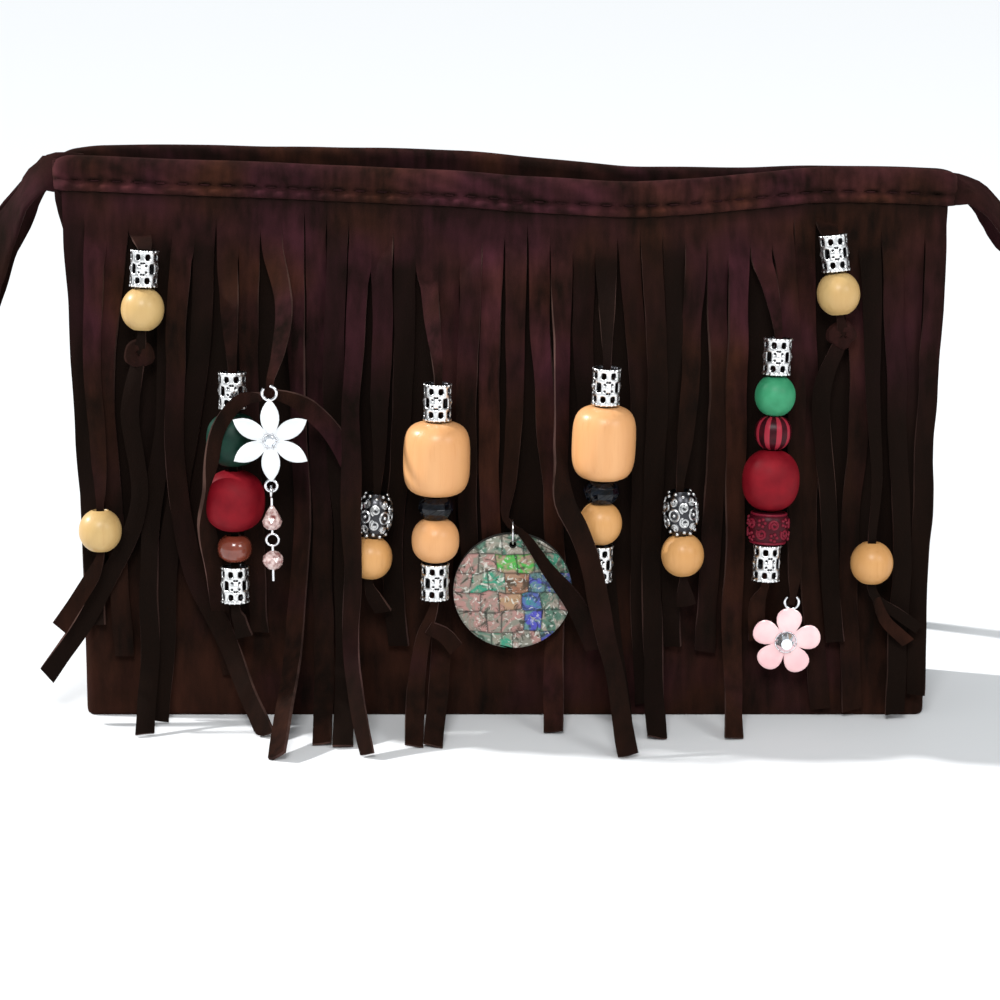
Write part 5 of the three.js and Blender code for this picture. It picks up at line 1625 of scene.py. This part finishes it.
def makeDrop(settings):
    charm = charmSettings["white"]
    base = ahead(*charm["place"]) + Vector((0, -charmThick / 2, -charm["footDrop"]))
    matrix = Matrix.Translation(base * mm) @ Matrix.Scale(mm, 4)
    crystals = []
    for rows in (dropRows, ballRows):
        pullRings(rows, settings["sides"], math.pi / settings["sides"])
        bpy.ops.mesh.select_all(action="SELECT")
        bpy.ops.mesh.fill_holes(sides=0)
        bpy.ops.mesh.quads_convert_to_tris()
        bpy.ops.mesh.normals_make_consistent(inside=False)
        bpy.ops.object.mode_set(mode="OBJECT")
        crystals.append(bpy.context.object)
    stones = joined(crystals, "crystal_drop_stones")
    stones.data.transform(matrix)
    dress(stones, "rose_crystal", looks["crystal"])
    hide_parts("crystal_drop")
    sideways = Matrix.Rotation(math.pi / 2, 3, "Y")
    facing = Matrix.Rotation(math.pi / 2, 3, "X")
    wires = [circlePath(settings["link"], settings["points"], sideways, (0, 0, -settings["link"])),
             circlePath(settings["ring"], settings["points"], facing, (0, 0, -settings["ringDrop"]))]
    wires += [([(0, 0, -top), (0, 0, -foot)], False) for top, foot in settings["pins"]]
    pins = bentWires("crystal_drop_pins", wires, settings["wire"])
    pins.data.transform(matrix)
    smoothShade(pins, 60)
    dress(pins, "silver", looks["plate"])


makeDrop(dropSettings)
print("crystal drop hung")


# shell mosaic disc and its bail

discSettings = {
    "radius": 18.7, "thick": 2.2, "holeUp": 15.2, "hole": 1.1, "place": (2.4, 43.6, 6.2),
    "tile": 6.3, "joint": 0.09, "edge": 0.45, "uneven": 1.5, "raise": 0.16, "wearAndPaintedShading": 0.68,
    "firstLine": 0.92, "rimRoom": 2.2, "rowShift": [0.1, 0.55, 0.3, 0.8, 0.2, 0.6], "smallTile": 12,
}
shellTints = {  # tile colour and its veins
    "rose": ((0.36, 0.19, 0.165), (0.2, 0.19, 0.15)), "teal": ((0.03, 0.25, 0.15), (0.24, 0.22, 0.17)),
    "sand": ((0.36, 0.22, 0.12), (0.3, 0.16, 0.12)), "leaf": ((0.06, 0.36, 0.05), (0.34, 0.22, 0.15)),
    "rust": ((0.25, 0.11, 0.06), (0.31, 0.18, 0.11)), "iris": ((0.06, 0.06, 0.4), (0.09, 0.2, 0.2)),
    "mist": ((0.3, 0.26, 0.21), (0.07, 0.16, 0.11)), "blue": ((0.03, 0.22, 0.2), (0.07, 0.1, 0.34)),
}
tileRows = [  # from the top, left to right
    "mist mist teal mist mist mist", "rose rose leaf leaf teal teal", "rose teal teal rust iris iris",
    "rose rose sand blue mist rose", "rose rose rose iris mist teal", "mist teal teal rose iris mist",
]


def darkenEdges(disc, wearAndPaintedShading):  # painted shade on the edges of the tiles, all but the chosen middles
    for name in ("tint", "vein"):
        layer = disc.data.attributes[name]
        for face in disc.data.polygons:
            if face.material_index == 0 and not face.select:
                value = layer.data[face.index]
                value.color = (*(wearAndPaintedShading * part for part in value.color[:3]), 1)


def cutTiles(disc, settings):  # divides the front into uneven rows of tiles
    radius, tile = settings["radius"], settings["tile"]
    lines = [-radius + tile * (k + settings["firstLine"]) for k in range(len(tileRows) - 1)]
    bounds = [-radius - 1, *lines, radius + 1]
    editAll(disc)
    for height in lines:
        pickFaces(disc, lambda face: face.normal.z > 0.9)
        bpy.ops.mesh.bisect(plane_co=(0, height, 0), plane_no=(0, 1, 0))
    for row, (low, high) in enumerate(zip(bounds, bounds[1:])):
        middle = (max(low, -radius) + min(high, radius)) / 2
        reach = math.sqrt(radius ** 2 - middle ** 2) - settings["rimRoom"]  # no slivers at the rim
        for k in range(-4, 5):
            x = tile * (k + settings["rowShift"][row] + 0.22 * wobble(row + 3, k * 0.9))
            if abs(x) > reach:
                continue
            pickFaces(disc, lambda face: face.normal.z > 0.9 and low < face.center.y < high)
            bpy.ops.mesh.bisect(plane_co=(x, 0, 0), plane_no=(1, 0.2 * wobble(row + 9, k * 0.7), 0))
    bpy.ops.object.mode_set(mode="OBJECT")
    hole = Vector((0, settings["holeUp"]))
    for vert in disc.data.vertices:
        spot = vert.co.xy
        inside = spot.length < radius - 0.5 and (spot - hole).length > settings["hole"] + 0.7
        if vert.co.z > 0 and inside:
            vert.co.x += settings["uneven"] * wobble(31, spot.x * 0.7 + spot.y * 1.9)
            vert.co.y += settings["uneven"] * wobble(37, spot.x * 1.3 - spot.y * 0.8)
    return bounds


def tintTiles(disc, bounds):  # colours the chosen tiles row by row, and leaves the rest to the joints
    tiles = [face for face in disc.data.polygons if face.select]
    tints = {}
    for row, names in enumerate(tileRows):
        low, high = bounds[-2 - row], bounds[-1 - row]
        line = [face for face in tiles if low < face.center.y < high]
        line.sort(key=lambda face: face.center.x)
        colours = names.split()
        for n, face in enumerate(line):
            tints[face.index] = shellTints[colours[min(n * len(colours) // len(line), len(colours) - 1)]]
    for column, name in enumerate(("tint", "vein")):
        layer = disc.data.attributes.new(name, "FLOAT_COLOR", "FACE")
        for i, pair in tints.items():
            layer.data[i].color = (*pair[column], 1)
    for face in disc.data.polygons:
        face.material_index = 0 if face.index in tints else 1


def makeDisc(settings):
    clearSelection()
    bpy.ops.mesh.primitive_cylinder_add(vertices=72, radius=settings["radius"],
                                        depth=settings["thick"] - settings["raise"])
    disc = bpy.context.object
    disc.name = "shell_disc_mosaic"
    clearSelection()
    bpy.ops.mesh.primitive_cylinder_add(vertices=20, radius=settings["hole"], depth=9,
                                        location=(0, settings["holeUp"], 0))
    drill = bpy.context.object
    useModifier(disc, "BOOLEAN", object=drill, operation="DIFFERENCE", solver="EXACT")
    drop(drill)
    bounds = cutTiles(disc, settings)
    editAll(disc)
    pickFaces(disc, lambda face: face.normal.z > 0.9)
    bpy.ops.mesh.inset(thickness=settings["joint"], use_individual=True)
    bpy.ops.object.mode_set(mode="OBJECT")
    tintTiles(disc, bounds)
    bpy.ops.object.mode_set(mode="EDIT")
    bpy.ops.mesh.extrude_faces_move(TRANSFORM_OT_shrink_fatten={"value": settings["raise"]})
    bpy.ops.object.mode_set(mode="OBJECT")
    for face in disc.data.polygons:  # slim tiles at the rim have no room for a shaded edge
        face.select = face.select and face.area > settings["smallTile"]
    bpy.ops.object.mode_set(mode="EDIT")
    bpy.ops.mesh.inset(thickness=settings["edge"], use_individual=True, use_even_offset=False)
    bpy.ops.object.mode_set(mode="OBJECT")
    darkenEdges(disc, settings["wearAndPaintedShading"])
    disc.data.transform(standing(settings["place"]) @ Matrix.Translation((0, 0, -settings["raise"] / 2)))
    paint = [face.material_index for face in disc.data.polygons]
    dress(disc, "shell", looks["shell"], looks["joint"])
    disc.data.polygons.foreach_set("material_index", paint)
    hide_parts("shell_disc")


bailSettings = {"radius": 3.9, "wire": 0.35, "narrow": 0.8, "points": 36}


def makeBail(settings):
    centre = ahead(*discSettings["place"]) + Vector((0, 0, discSettings["holeUp"] + settings["radius"]))
    spots = []
    for k in range(settings["points"]):
        angle = 2 * math.pi * k / settings["points"]
        across, up = settings["narrow"] * math.cos(angle), math.sin(angle)
        spots.append((centre + Vector((0, across, up)) * settings["radius"]) * mm)
    bail = bentWires("bail_wire", [(spots, True)], settings["wire"] * mm)
    smoothShade(bail, 60)
    dress(bail, "silver", looks["plate"])
    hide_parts("bail")


makeDisc(discSettings)
makeBail(bailSettings)
print("disc set and hung")
